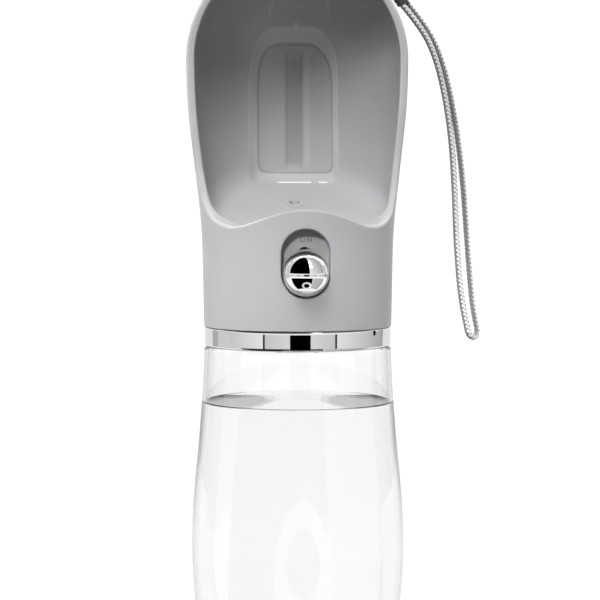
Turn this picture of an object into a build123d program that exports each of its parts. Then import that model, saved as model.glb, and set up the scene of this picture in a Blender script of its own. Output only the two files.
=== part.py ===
from build123d import *
import math
import os

# Dog travel water bottle. Millimetres, +Z up, the front (button and lip) towards -Y.
# The origin is the middle of the flat face that the bottle stands on.

# ---- clearances ----
RUN_FIT = 0.06        # radial gap of a rod that slides in its guide
FREE_GAP = 0.3        # gap between pieces that move past each other
SEAT_GAP = 0.1        # gap between pieces that are seated on each other
PRESS_GAP = 0.03      # radial gap of pieces that are pushed on and stay

# ---- clear bottle ----
BASE_RADIUS = 31.4            # where the base corner meets the side
BASE_CORNER = 8.0
BELLY_RADIUS = 36.8
BELLY_HEIGHT = 62.5
WAIST_RADIUS = 32.2
SHOULDER_HEIGHT = 132.5
SHOULDER_CORNER = 1.2
LOWER_FLANK = (35.4, 40.0)    # radius and height of a point below the belly
UPPER_FLANK = (34.3, 100.0)   # radius and height of a point above the belly
BOTTLE_WALL = 1.8
BOTTLE_FLOOR = 2.6
SHOULDER_WALL = 2.4
NECK_RADIUS = 26.0
NECK_WALL = 2.4
NECK_LENGTH = 12.3            # from the shoulder to the neck's top face

# ---- screw thread, round in section ----
THREAD_PITCH = 4.5
THREAD_WIRE = 1.2             # radius of the thread's round section
MALE_TURNS = 1.25
FEMALE_TURNS = 1.0
MALE_START = 3.4              # height of the male thread's start above the shoulder
THREAD_SINK = 0.1             # how far the female ridge's centre is sunk in the collar's wall

# ---- collar and ring ----
COLLAR_WALL = 2.3
COLLAR_LIFT = 0.9             # collar's lower edge above the bottle's shoulder
GASKET_THICKNESS = 1.7
PLATE_THICKNESS = 2.0
SEAT_BORE = 4.0
RING_RADIUS = 32.1
RING_HEIGHT = 5.8
RING_LIFT = 0.6               # ring's lower edge above the bottle's shoulder
RING_BEVEL = 0.7

# ---- head shell ----
BARREL_RADIUS = 32.3
HEAD_WALL = 2.8
ARCH_RADIUS = 38.2            # half the scoop's width, and the radius of its arch
ARCH_SHALLOW = 2.2            # how much less deep than wide the scoop's back is
ARCH_HEIGHT = 91.8            # arch centre above the head's lower edge
RIM_PLANE = -1.5              # Y of the rim's upright part
RIM_TUBE = 6.0                # how far the arch runs forward before it is trimmed
# height above the head's lower edge, and how much wider and deeper than the barrel the head is
BARREL_SECTIONS = (
    (16.0, 0.3, 0.2),
    (31.0, 0.7, 0.6),
    (45.0, 1.9, 1.5),
)
# the same further up, and how much narrower and shallower than the arch it is
ARCH_SECTIONS = (
    (62.0, 1.9, 0.8),
    (76.0, 0.5, 0.1),
)
# side view of the rim, Y and height above the head's lower edge, front to back
RIM_SIDE = (
    (-46.0, 54.0),
    (-33.0, 40.5),
    (-24.6, 35.1),
    (-15.0, 37.3),
    (-8.0, 43.0),
    (-3.2, 52.0),
)
RIM_TOP = 64.0                # height above the head's lower edge where the rim is upright
# side view of the scoop's floor, Y and height above the head's lower edge, front to back
OUTLET_Y = 13.0
OUTLET_FLOOR = 42.0
FLOOR_SIDE = (
    (-45.0, 33.5),
    (-24.0, 34.0),
    (-6.0, 36.4),
    (OUTLET_Y, OUTLET_FLOOR),
    (24.0, 47.0),
    (45.0, 58.0),
)
FLOOR_WALL = 2.2
BOWL_FILLET = 8.0

# ---- moulded panel in the scoop's back wall ----
PANEL_HALF = 14.6
PANEL_FOOT = 50.5             # above the head's lower edge
PANEL_SHOULDER = 99.0
PANEL_NECK_HALF = 9.5
PANEL_TOP = 108.0
PANEL_DEPTH = 1.1
PANEL_CORNER = 5.0

# ---- button recess ----
SLOT_HALF = 8.15              # half the recess's width
SLIDE_TRAVEL = 6.5
BUTTON_HEIGHT = 19.4          # button's axis above the head's lower edge, slider down
RECESS_DEPTH = 5.8            # recess's floor behind the barrel's front
RECESS_WALL = 1.6
BLOCK_HALF = 14.6             # half width of the thick block round the recess
BLOCK_TOP = 33.0              # above the head's lower edge
STEM_SLOT_GAP = 0.2

# ---- button ----
BALL_RADIUS = 7.7
PRESS_TRAVEL = 2.6
BALL_SKIRT = 1.7              # straight part behind the ball's widest section
BALL_BORE = 6.2
BALL_BORE_DEPTH = 4.7
STEM_RADIUS = 1.5
STEM_SOCKET = 1.2             # how far the stem goes into the ball
WEDGE_HALF_WIDTH = 2.5
WEDGE_HALF_HEIGHT = 2.4
WEDGE_BACK = -9.0             # Y where the wedge block starts
STEM_OVERLAP = 1.0            # how far the round stem runs into the wedge block
CLIP_RADIUS = 3.0
CLIP_THICKNESS = 0.6
CLIP_GROOVE = 1.15            # radius of the groove's bottom

# ---- slider ----
PLATE_HALF_WIDTH = 10.0
PLATE_HALF_HEIGHT = 4.0
SLIDER_THICKNESS = 1.6
BOSS_RADIUS = 1.95
WASHER_RADIUS = 7.85
WASHER_THICKNESS = 0.6

# ---- slider guide ----
RAIL_WIDTH = 4.2
RAIL_LIP = 1.5
RAIL_LIP_THICKNESS = 1.2
GUIDE_FOOT = 1.6
GUIDE_TOP = 30.6              # above the head's lower edge
SCREW_RADIUS = 0.9
SCREW_HEAD_RADIUS = 1.6
SCREW_HEAD_HEIGHT = 1.0
SCREW_LENGTH = 5.0
SCREW_HEIGHTS = (17.0, 27.0)  # above the head's lower edge

# ---- valve ----
ROD_RADIUS = 1.6
ROD_LOWER_RADIUS = 1.8
DISC_RADIUS = 6.6
DISC_THICKNESS = 1.6
WASHER_SEAL_THICKNESS = 1.4
ROD_TAIL = 11.7               # rod's length below the disc
CAGE_BORE = 7.4
CAGE_WALL = 1.6
CAGE_DEPTH = 12.9
CAGE_FLOOR = 1.5
WINDOW_WIDTH = 5.0
WINDOW_HEIGHT = 6.0
CHAMBER_BORE = 6.9
CHAMBER_WALL = 1.6
CHAMBER_HEIGHT = 7.0
CHAMBER_ROOF = 1.8
SEAL_RADIUS = 3.2
SEAL_THICKNESS = 1.1
SPIGOT_RADIUS = 3.0
SPIGOT_BORE = 1.9
SPIGOT_HEIGHT = 12.5
HOSE_WALL = 1.1
NOZZLE_PROUD = 0.4            # nozzle's mouth above the scoop's floor
NOZZLE_DROP = 9.0             # nozzle's length under the scoop's floor
HOSE_LAP = 4.0                # how far the hose goes over each spigot

# ---- springs ----
VALVE_COIL_RADIUS = 4.4
VALVE_WIRE_RADIUS = 0.35
VALVE_COILS = 4
BUTTON_COIL_RADIUS = 4.3
BUTTON_WIRE_RADIUS = 0.25
BUTTON_COILS = 5

# ---- lanyard ----
EAR_ANGLE = 52.0              # degrees above the horizontal, round the arch
EAR_OFFSET = 3.2              # ear's centre outside the arch
EAR_RADIUS = 4.2
EAR_HOLE = 1.9
EAR_THICKNESS = 2.4
LEADER_SPREAD = 2.8           # half the thin loop's width where it passes the ear
LEADER_REST = 0.8             # how far it lies off the ear hole's middle, towards the bead
LANYARD_Y = 6.0
CORD_RADIUS = 1.1
LEADER_RADIUS = 0.6
BEAD_LENGTH = 8.5
BEAD_RADIUS = 2.5
BEAD_TOP_RADIUS = 2.0
FOLD_TURN = math.radians(60)  # the loop's plane, turned from the front view
# middle of the two cord runs, X and Z, from the bead's end face downwards,
# and how far apart the runs are there
LANYARD_RUN = (
    (36.6, 250.0, 2.6),
    (42.4, 242.9, 2.6),
    (47.3, 233.5, 2.9),
    (50.8, 221.0, 3.0),
    (53.5, 205.0, 3.6),
    (55.2, 187.0, 4.9),
    (56.1, 170.0, 5.8),
    (57.0, 156.0, 6.0),
    (58.1, 147.3, 5.6),
    (59.1, 142.3, 5.4),
    (59.8, 139.4, 5.3),
)
FOLD_RUN = 2.2                # length of each short run round the fold
FOLD_END = (60.15, 137.1)     # X and Z where the fold starts
FOLD_LEAN = 0.15              # how far the fold drifts to the right for its height

# ---- worked-out heights ----
NECK_TOP = SHOULDER_HEIGHT + NECK_LENGTH
PLATE_BOTTOM = NECK_TOP + SEAT_GAP + GASKET_THICKNESS + SEAT_GAP
PLATE_TOP = PLATE_BOTTOM + PLATE_THICKNESS
COLLAR_BOTTOM = SHOULDER_HEIGHT + COLLAR_LIFT
COLLAR_BORE = NECK_RADIUS + THREAD_WIRE + FREE_GAP
COLLAR_RADIUS = COLLAR_BORE + COLLAR_WALL
RING_BOTTOM = SHOULDER_HEIGHT + RING_LIFT
HEAD_BOTTOM = RING_BOTTOM + RING_HEIGHT + SEAT_GAP
ARCH_CENTRE = HEAD_BOTTOM + ARCH_HEIGHT
ARCH_DEPTH = ARCH_RADIUS - ARCH_SHALLOW
BARREL_BORE = COLLAR_RADIUS + SEAT_GAP
BUTTON_Z = HEAD_BOTTOM + BUTTON_HEIGHT
RECESS_FLOOR = RECESS_DEPTH - BARREL_RADIUS
STEM_SLOT_HALF = BOSS_RADIUS + STEM_SLOT_GAP
RECESS_BACK = RECESS_FLOOR + RECESS_WALL
SLIDER_FRONT = RECESS_BACK + FREE_GAP
SLIDER_BACK = SLIDER_FRONT + SLIDER_THICKNESS
WASHER_BACK = RECESS_FLOOR - FREE_GAP
WASHER_FRONT = WASHER_BACK - WASHER_THICKNESS
BALL_BACK = WASHER_FRONT - PRESS_TRAVEL - FREE_GAP
BALL_CENTRE = BALL_BACK - BALL_SKIRT
CHAMBER_TOP = PLATE_TOP + CHAMBER_HEIGHT
WEDGE_BOTTOM = BUTTON_Z - WEDGE_HALF_HEIGHT
DISC_TOP = PLATE_BOTTOM - SEAT_GAP - WASHER_SEAL_THICKNESS
DISC_BOTTOM = DISC_TOP - DISC_THICKNESS
CAGE_BOTTOM = PLATE_BOTTOM - CAGE_DEPTH
ROD_CUT = WEDGE_BOTTOM + 1.0  # height on the axis of the rod's sloping top face

os.makedirs("parts", exist_ok=True)


def disc(radius, low, high, x=0.0, y=0.0):
    """Upright round bar from one height to another."""
    return Pos(x, y, low) * extrude(Circle(radius), high - low)


def tube(outer, inner, low, high, x=0.0, y=0.0):
    """Upright tube."""
    return disc(outer, low, high, x, y) - disc(inner, low - 1, high + 1, x, y)


def bar_y(radius, front, back, x, z):
    """Round bar along Y."""
    return Location((x, front, z), (-90, 0, 0)) * extrude(Circle(radius), back - front)


def block(x0, x1, y0, y1, z0, z1):
    """Box between two corners."""
    return Pos((x0 + x1) / 2, (y0 + y1) / 2, (z0 + z1) / 2) * Box(x1 - x0, y1 - y0, z1 - z0)


def stadium_y(half, low, high, front, back):
    """Upright slot with round ends, centres from low to high, run along Y."""
    middle = block(-half, half, front, back, low, high)
    return middle + bar_y(half, front, back, 0, low) + bar_y(half, front, back, 0, high)


def least_gap(path, wire, turns):
    """Least gap between one turn of a wire and the next, measured on points along it."""
    count = int(24 * turns)
    near = 18
    points = [path @ (i / count) for i in range(count + 1)]
    gaps = [(b - a).length for i, a in enumerate(points) for b in points[i + near:]]
    return min(gaps) - 2 * wire


def coil(name, radius, pitch, turns, wire, start):
    """Round wire wound round Z in quarter turns, one unbroken tube.

    Each quarter turn is an arc through a point half way along it, so the
    wire climbs steadily.
    """
    quarters = int(round(turns * 4))
    edges = []
    for i in range(quarters):
        points = []
        for step in (0, 0.5, 1):
            turn = (i + step) / 4
            angle = 2 * math.pi * turn
            points.append((radius * math.cos(angle), radius * math.sin(angle), start + pitch * turn))
        edges.append(ThreePointArc(*points))
    path = Wire(edges)
    print(name, "least gap to itself", round(least_gap(path, wire, turns), 2))
    section = Plane(origin=path @ 0, z_dir=path % 0) * Circle(wire)
    return sweep(section, path=path, transition=Transition.TRANSFORMED)


# ---- clear bottle ----
def bottle_face(inset, floor, top):
    """Half outline of the bottle, from the axis to its wall, moved in by inset."""
    corner = BASE_CORNER - inset
    low = Vector(BASE_RADIUS - inset - corner, floor)
    side = Vector(BASE_RADIUS - inset, floor + corner)
    centre = Vector(low.X, side.Y)
    half = math.radians(45)
    mid = Vector(centre.X + corner * math.sin(half), centre.Y - corner * math.cos(half))
    flank = Spline(
        side,
        (LOWER_FLANK[0] - inset, LOWER_FLANK[1]),
        (BELLY_RADIUS - inset, BELLY_HEIGHT),
        (UPPER_FLANK[0] - inset, UPPER_FLANK[1]),
        (WAIST_RADIUS - inset, top),
        tangents=((0.12, 1), (-0.02, 1)),
    )
    outline = [
        Line((0, floor), low),
        ThreePointArc(low, mid, side),
        flank,
        Line((WAIST_RADIUS - inset, top), (0, top)),
        Line((0, top), (0, floor)),
    ]
    return Plane.XZ * make_face(Wire(outline))


def make_bottle():
    body = revolve(bottle_face(0, 0, SHOULDER_HEIGHT), Axis.Z)
    rim = body.edges().filter_by(GeomType.CIRCLE).sort_by(Axis.Z)[-1]
    body = fillet(rim, SHOULDER_CORNER)
    body += disc(NECK_RADIUS, SHOULDER_HEIGHT - 1, NECK_TOP)
    hollow = revolve(bottle_face(BOTTLE_WALL, BOTTLE_FLOOR, SHOULDER_HEIGHT - SHOULDER_WALL), Axis.Z)
    top_edge = hollow.edges().filter_by(GeomType.CIRCLE).sort_by(Axis.Z)[-1]
    hollow = fillet(top_edge, 2 * SHOULDER_CORNER)
    body -= hollow
    body -= disc(NECK_RADIUS - NECK_WALL, SHOULDER_HEIGHT - SHOULDER_WALL - 1, NECK_TOP + 1)
    start = SHOULDER_HEIGHT + MALE_START
    return body + coil("bottle's thread", NECK_RADIUS, THREAD_PITCH, MALE_TURNS, THREAD_WIRE, start)


def make_gasket():
    low = NECK_TOP + SEAT_GAP
    return tube(COLLAR_BORE - FREE_GAP, NECK_RADIUS - NECK_WALL, low, low + GASKET_THICKNESS)


# ---- collar and ring ----
def make_collar():
    body = disc(COLLAR_RADIUS, COLLAR_BOTTOM, PLATE_TOP)
    body -= disc(COLLAR_BORE, COLLAR_BOTTOM - 1, PLATE_BOTTOM)
    body -= disc(SEAT_BORE, PLATE_BOTTOM - 1, PLATE_TOP + 1)
    start = SHOULDER_HEIGHT + MALE_START + THREAD_PITCH / 2
    radius = COLLAR_BORE + THREAD_SINK
    return body + coil("collar's thread", radius, THREAD_PITCH, FEMALE_TURNS, THREAD_WIRE, start)


def make_ring():
    body = tube(RING_RADIUS, COLLAR_RADIUS + SEAT_GAP, RING_BOTTOM, RING_BOTTOM + RING_HEIGHT)
    outer = body.edges().filter_by(GeomType.CIRCLE).group_by(SortBy.RADIUS)[-1]
    low = outer.sort_by(Axis.Z)[0]
    return chamfer(low, RING_BEVEL)


# ---- head shell ----
def head_form(inset):
    """Barrel and domed scoop as one solid, its skin moved in by inset."""
    rings = [(0.0, BARREL_RADIUS, BARREL_RADIUS)]
    rings += [(height, BARREL_RADIUS + wide, BARREL_RADIUS + deep) for height, wide, deep in BARREL_SECTIONS]
    rings += [(height, ARCH_RADIUS - wide, ARCH_DEPTH - deep) for height, wide, deep in ARCH_SECTIONS]
    rings += [(ARCH_HEIGHT, ARCH_RADIUS, ARCH_DEPTH)]
    faces = []
    for height, half, depth in rings:
        faces.append(Pos(0, 0, HEAD_BOTTOM + height) * Ellipse(half - inset, depth - inset).face())
    barrel = loft(faces)
    radius = ARCH_RADIUS - inset
    depth = ARCH_DEPTH - inset
    outline = [
        Line((-RIM_TUBE, 0), (-RIM_TUBE, radius)),
        Line((-RIM_TUBE, radius), (0, radius)),
        EllipticalCenterArc((0, 0), depth, radius, 0, arc_size=90),
        Line((depth, 0), (-RIM_TUBE, 0)),
    ]
    side = Plane(origin=(0, 0, ARCH_CENTRE), x_dir=(0, 1, 0), z_dir=(1, 0, 0))
    dome = revolve(side * make_face(Wire(outline)), Axis((0, 0, ARCH_CENTRE), (0, 1, 0)))
    reach = 2 * ARCH_RADIUS
    dome &= block(-reach, reach, -reach, reach, ARCH_CENTRE, ARCH_CENTRE + reach)
    return barrel + dome


def side_region(line, top):
    """Slab across the whole width, above a side-view line and in front of its end."""
    points = [(y, HEAD_BOTTOM + height) for y, height in line]
    curve = Spline(points)
    last = points[-1]
    first = points[0]
    roof = HEAD_BOTTOM + top
    outline = [
        curve,
        Line(last, (last[0], roof)),
        Line((last[0], roof), (first[0], roof)),
        Line((first[0], roof), first),
    ]
    reach = 2 * ARCH_RADIUS
    side = Plane(origin=(-reach, 0, 0), x_dir=(0, 1, 0), z_dir=(1, 0, 0))
    return extrude(side * make_face(Wire(outline)), 2 * reach)


def make_bowl():
    """Inside of the scoop, with its floor rounded into its walls."""
    bowl = head_form(HEAD_WALL) & floor_region(0)
    floor = bowl.faces().sort_by(Axis.Z)[0]
    return fillet(floor.edges(), BOWL_FILLET)


def panel_outline():
    """Bottle-shaped panel, as a solid that runs back through the rear wall."""
    foot = HEAD_BOTTOM + PANEL_FOOT
    shoulder = HEAD_BOTTOM + PANEL_SHOULDER
    top = HEAD_BOTTOM + PANEL_TOP
    half = PANEL_HALF
    neck = PANEL_NECK_HALF
    outline = [
        (-half, foot),
        (half, foot),
        (half, shoulder),
        (neck, top),
        (-neck, top),
        (-half, shoulder),
    ]
    face = make_face(FilletPolyline(*outline, radius=PANEL_CORNER, close=True))
    return extrude(Plane.XZ * face, -2 * ARCH_DEPTH)


def recess_block():
    """Thick part of the front wall that the button recess is cut in."""
    low = PLATE_TOP + FREE_GAP
    high = HEAD_BOTTOM + BLOCK_TOP
    return block(-BLOCK_HALF, BLOCK_HALF, -2 * BARREL_RADIUS, RECESS_BACK, low, high)


def ear_place():
    angle = math.radians(EAR_ANGLE)
    reach = ARCH_RADIUS + EAR_OFFSET
    return (reach * math.cos(angle), ARCH_CENTRE + reach * math.sin(angle))


def floor_region(shift):
    """Everything above the scoop's floor, with the floor moved up by shift."""
    return side_region([(y, z + shift) for y, z in FLOOR_SIDE], 2 * ARCH_HEIGHT)


def make_housing():
    outer = head_form(0)
    lower_room = head_form(HEAD_WALL) - floor_region(-FLOOR_WALL) - recess_block()
    barrel_room = disc(BARREL_BORE, HEAD_BOTTOM - 1, PLATE_TOP + FREE_GAP)
    body = outer - make_bowl() - lower_room
    hump = stadium_y(SLOT_HALF + RECESS_WALL, BUTTON_Z, BUTTON_Z + SLIDE_TRAVEL, -BARREL_RADIUS, RECESS_BACK)
    body += hump & outer
    body -= barrel_room
    body -= side_region(list(RIM_SIDE) + [(RIM_PLANE, RIM_TOP)], 2 * ARCH_HEIGHT)
    panel = panel_outline() & head_form(HEAD_WALL - PANEL_DEPTH)
    body -= panel
    front = -2 * BARREL_RADIUS
    body -= stadium_y(SLOT_HALF, BUTTON_Z, BUTTON_Z + SLIDE_TRAVEL, front, RECESS_FLOOR)
    body -= stadium_y(STEM_SLOT_HALF, BUTTON_Z, BUTTON_Z + SLIDE_TRAVEL, front, RECESS_BACK + 1)
    body -= disc(SPIGOT_RADIUS + SEAT_GAP, BUTTON_Z, HEAD_BOTTOM + ARCH_HEIGHT, 0, OUTLET_Y)
    x, z = ear_place()
    ear = bar_y(EAR_RADIUS, LANYARD_Y - EAR_THICKNESS / 2, LANYARD_Y + EAR_THICKNESS / 2, x, z)
    ear -= bar_y(EAR_HOLE, 0, 2 * LANYARD_Y, x, z)
    for screw_x, screw_z in screw_places():
        body -= bar_y(SCREW_RADIUS, RECESS_BACK - SCREW_LENGTH, RECESS_BACK + 1, screw_x, screw_z)
    return body + ear


# ---- slider and its guide ----
def screw_places():
    x = PLATE_HALF_WIDTH + FREE_GAP + RAIL_WIDTH / 2
    return [(side * x, HEAD_BOTTOM + height) for side in (-1, 1) for height in SCREW_HEIGHTS]


def guide_back():
    return SLIDER_BACK + FREE_GAP + RAIL_LIP_THICKNESS


def make_guide():
    inner = PLATE_HALF_WIDTH + FREE_GAP
    low = PLATE_TOP + FREE_GAP + SEAT_GAP
    high = HEAD_BOTTOM + GUIDE_TOP
    body = block(-inner - RAIL_WIDTH, inner + RAIL_WIDTH, RECESS_BACK, guide_back(), low, high)
    body -= block(-inner, inner, RECESS_BACK - 1, SLIDER_BACK + FREE_GAP, low + GUIDE_FOOT, high + 1)
    window = inner - RAIL_LIP
    body -= block(-window, window, RECESS_BACK - 1, guide_back() + 1, low + GUIDE_FOOT, high + 1)
    for x, z in screw_places():
        body -= bar_y(SCREW_RADIUS, RECESS_BACK - 1, guide_back() + 1, x, z)
    return body


def make_screws():
    screws = []
    for x, z in screw_places():
        tip = RECESS_BACK - SCREW_LENGTH + SEAT_GAP
        shank = bar_y(SCREW_RADIUS - PRESS_GAP, tip, guide_back(), x, z)
        head = bar_y(SCREW_HEAD_RADIUS, guide_back(), guide_back() + SCREW_HEAD_HEIGHT, x, z)
        screws.append(shank + head)
    return Compound(children=screws)


def make_slider():
    low = BUTTON_Z - PLATE_HALF_HEIGHT
    high = BUTTON_Z + PLATE_HALF_HEIGHT
    body = block(-PLATE_HALF_WIDTH, PLATE_HALF_WIDTH, SLIDER_FRONT, SLIDER_BACK, low, high)
    body += bar_y(BOSS_RADIUS, WASHER_FRONT, SLIDER_BACK, 0, BUTTON_Z)
    return body - bar_y(STEM_RADIUS + RUN_FIT, WASHER_FRONT - 1, SLIDER_BACK + 1, 0, BUTTON_Z)


def make_slider_washer():
    body = bar_y(WASHER_RADIUS, WASHER_FRONT, WASHER_BACK, 0, BUTTON_Z)
    return body - bar_y(BOSS_RADIUS + PRESS_GAP, WASHER_FRONT - 1, WASHER_BACK + 1, 0, BUTTON_Z)


# ---- button ----
def make_button_cap():
    body = bar_y(BALL_RADIUS, BALL_CENTRE, BALL_BACK, 0, BUTTON_Z)
    body += Pos(0, BALL_CENTRE, BUTTON_Z) * Sphere(BALL_RADIUS)
    body &= block(-BALL_RADIUS, BALL_RADIUS, BALL_CENTRE - BALL_RADIUS, BALL_BACK,
                  BUTTON_Z - BALL_RADIUS, BUTTON_Z + BALL_RADIUS)
    ceiling = BALL_BACK - BALL_BORE_DEPTH
    body -= bar_y(BALL_BORE, ceiling, BALL_BACK + 1, 0, BUTTON_Z)
    return body - bar_y(STEM_RADIUS + PRESS_GAP, ceiling - STEM_SOCKET, ceiling + 1, 0, BUTTON_Z)


def wedge_tool(gap):
    """Space above the sloping plane that the wedge and the rod share."""
    reach = 4 * BALL_RADIUS
    tilt = Location((0, 0, ROD_CUT + gap * math.sqrt(2)), (45, 0, 0))
    return tilt * Pos(0, 0, reach / 2) * Box(reach, reach, reach)


def clip_front():
    return SLIDER_BACK + FREE_GAP


def make_stem():
    front = BALL_BACK - BALL_BORE_DEPTH - STEM_SOCKET + SEAT_GAP
    rod = bar_y(STEM_RADIUS, front, WEDGE_BACK + STEM_OVERLAP, 0, BUTTON_Z)
    rod -= bar_y(2 * STEM_RADIUS, clip_front(), clip_front() + CLIP_THICKNESS + SEAT_GAP, 0, BUTTON_Z)
    rod += bar_y(CLIP_GROOVE, clip_front() - 1, clip_front() + CLIP_THICKNESS + 1, 0, BUTTON_Z)
    wedge = block(-WEDGE_HALF_WIDTH, WEDGE_HALF_WIDTH, WEDGE_BACK, WEDGE_BACK + 4 * BALL_RADIUS,
                  WEDGE_BOTTOM, BUTTON_Z + WEDGE_HALF_HEIGHT)
    return rod + (wedge & wedge_tool(SEAT_GAP))


def make_clip():
    back = clip_front() + CLIP_THICKNESS
    body = bar_y(CLIP_RADIUS, clip_front(), back, 0, BUTTON_Z)
    hole = CLIP_GROOVE + PRESS_GAP
    body -= bar_y(hole, clip_front() - 1, back + 1, 0, BUTTON_Z)
    mouth = block(-hole * 0.8, hole * 0.8, clip_front() - 1, back + 1, BUTTON_Z - 2 * CLIP_RADIUS, BUTTON_Z)
    return body - mouth


def make_button_spring():
    front = BALL_BACK - BALL_BORE_DEPTH + BUTTON_WIRE_RADIUS + SEAT_GAP
    length = WASHER_FRONT - BUTTON_WIRE_RADIUS - SEAT_GAP - front
    pitch = length / BUTTON_COILS
    spring = coil("button_spring", BUTTON_COIL_RADIUS, pitch, BUTTON_COILS, BUTTON_WIRE_RADIUS, 0)
    return Location((0, front, BUTTON_Z), (-90, 0, 0)) * spring


# ---- valve ----
def make_cage():
    body = disc(CAGE_BORE + CAGE_WALL, CAGE_BOTTOM, PLATE_BOTTOM)
    body -= disc(CAGE_BORE, CAGE_BOTTOM + CAGE_FLOOR, PLATE_BOTTOM + 1)
    body -= disc(ROD_LOWER_RADIUS + RUN_FIT, CAGE_BOTTOM - 1, PLATE_BOTTOM)
    reach = 2 * CAGE_BORE
    half = WINDOW_WIDTH / 2
    low = CAGE_BOTTOM + CAGE_FLOOR + 1
    body -= block(-reach, reach, -half, half, low, low + WINDOW_HEIGHT)
    return body - block(-half, half, -reach, reach, low, low + WINDOW_HEIGHT)


def make_plunger():
    body = disc(DISC_RADIUS, DISC_BOTTOM, DISC_TOP)
    body += disc(ROD_LOWER_RADIUS, DISC_BOTTOM - ROD_TAIL, DISC_BOTTOM)
    rod = disc(ROD_RADIUS, DISC_TOP, WEDGE_BOTTOM + 2 * DISC_RADIUS)
    return body + (rod - wedge_tool(0))


def make_valve_washer():
    return tube(DISC_RADIUS - FREE_GAP, ROD_RADIUS + PRESS_GAP, DISC_TOP, DISC_TOP + WASHER_SEAL_THICKNESS)


def make_valve_spring():
    low = CAGE_BOTTOM + CAGE_FLOOR + VALVE_WIRE_RADIUS + SEAT_GAP
    length = DISC_BOTTOM - VALVE_WIRE_RADIUS - SEAT_GAP - low
    pitch = length / VALVE_COILS
    return coil("valve_spring", VALVE_COIL_RADIUS, pitch, VALVE_COILS, VALVE_WIRE_RADIUS, low)


def make_chamber():
    shell = CHAMBER_BORE + CHAMBER_WALL
    spigot_top = PLATE_TOP + SPIGOT_HEIGHT
    body = disc(shell, PLATE_TOP, CHAMBER_TOP)
    body += block(-SPIGOT_RADIUS, SPIGOT_RADIUS, 0, OUTLET_Y, PLATE_TOP, CHAMBER_TOP)
    body += disc(SPIGOT_RADIUS, PLATE_TOP, spigot_top, 0, OUTLET_Y)
    roof = CHAMBER_TOP - CHAMBER_ROOF
    body -= disc(CHAMBER_BORE, PLATE_TOP - 1, roof)
    body -= block(-SPIGOT_BORE, SPIGOT_BORE, 0, OUTLET_Y, PLATE_TOP - 1, roof)
    body -= disc(SPIGOT_BORE, PLATE_TOP - 1, spigot_top + 1, 0, OUTLET_Y)
    body -= disc(SEAL_RADIUS + PRESS_GAP, roof - 1, roof + SEAL_THICKNESS)
    return body - disc(ROD_RADIUS + RUN_FIT, roof, CHAMBER_TOP + 1)


def make_stem_seal():
    roof = CHAMBER_TOP - CHAMBER_ROOF
    return tube(SEAL_RADIUS, ROD_RADIUS + RUN_FIT, roof, roof + SEAL_THICKNESS - SEAT_GAP)


def make_nozzle():
    low = HEAD_BOTTOM + OUTLET_FLOOR - NOZZLE_DROP
    body = disc(SPIGOT_RADIUS, low, low + 2 * NOZZLE_DROP, 0, OUTLET_Y)
    body -= disc(SPIGOT_BORE, low - 1, low + 3 * NOZZLE_DROP, 0, OUTLET_Y)
    return body - floor_region(NOZZLE_PROUD)


def make_hose():
    low = PLATE_TOP + SPIGOT_HEIGHT - HOSE_LAP
    high = HEAD_BOTTOM + OUTLET_FLOOR - NOZZLE_DROP + HOSE_LAP
    return tube(SPIGOT_RADIUS + PRESS_GAP + HOSE_WALL, SPIGOT_RADIUS + PRESS_GAP, low, high, 0, OUTLET_Y)


# ---- lanyard ----
def bead_way():
    """Direction up the bead's axis, away from the loop."""
    x, z, _ = LANYARD_RUN[0]
    next_x, next_z, _ = LANYARD_RUN[1]
    return Vector(x - next_x, 0, z - next_z).normalized()


def apart(x, z, distance, side, across=Vector(1, 0, 0)):
    """Point beside the loop's middle line, half the distance to one side."""
    half = side * distance / 2
    spread = across * math.cos(FOLD_TURN) + Vector(0, math.sin(FOLD_TURN), 0)
    return Vector(x, LANYARD_Y, z) + spread * half


def lanyard_run(side):
    """Points down one run; the first two are square to the bead's end face."""
    way = bead_way()
    square = Vector(way.Z, 0, -way.X)
    points = [apart(x, z, distance, side, square) for x, z, distance in LANYARD_RUN[:2]]
    return points + [apart(x, z, distance, side) for x, z, distance in LANYARD_RUN[2:]]


def lanyard_points():
    """Control points down one run, round the fold and up the other run."""
    slant = FOLD_RUN * math.cos(math.radians(45))
    width = FOLD_RUN + 2 * slant
    x, z = FOLD_END
    low_x = x + FOLD_LEAN * slant
    fold = [
        apart(x, z, width, -1),
        apart(low_x, z - slant, FOLD_RUN, -1),
        apart(low_x, z - slant, FOLD_RUN, 1),
        apart(x, z, width, 1),
    ]
    return lanyard_run(-1) + fold + lanyard_run(1)[::-1]


def corner_radii(points):
    """Largest arc at each corner: 0.45 of the shorter run over the tangent of half the turn."""
    radii = []
    for before, here, after in zip(points, points[1:], points[2:]):
        one = here - before
        two = after - here
        half_turn = math.radians(one.get_angle(two)) / 2
        radii.append(0.45 * min(one.length, two.length) / math.tan(half_turn))
    return radii


def cord_tube(name, points, radius):
    """Tube of round section along straight runs joined by tangent arcs."""
    radii = corner_radii(points)
    path = FilletPolyline(*points, radius=radii)
    section = Plane(origin=path @ 0, z_dir=path % 0) * Circle(radius)
    body = sweep(section, path=path)
    share = body.volume / (math.pi * radius * radius * path.length)
    print(name, "length", round(path.length, 1), "volume over section times length", round(share, 4))
    print(name, "radii", [round(r, 1) for r in radii])
    return body


def bead_top():
    x, z, _ = LANYARD_RUN[0]
    return Vector(x, LANYARD_Y, z) + bead_way() * BEAD_LENGTH


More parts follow.
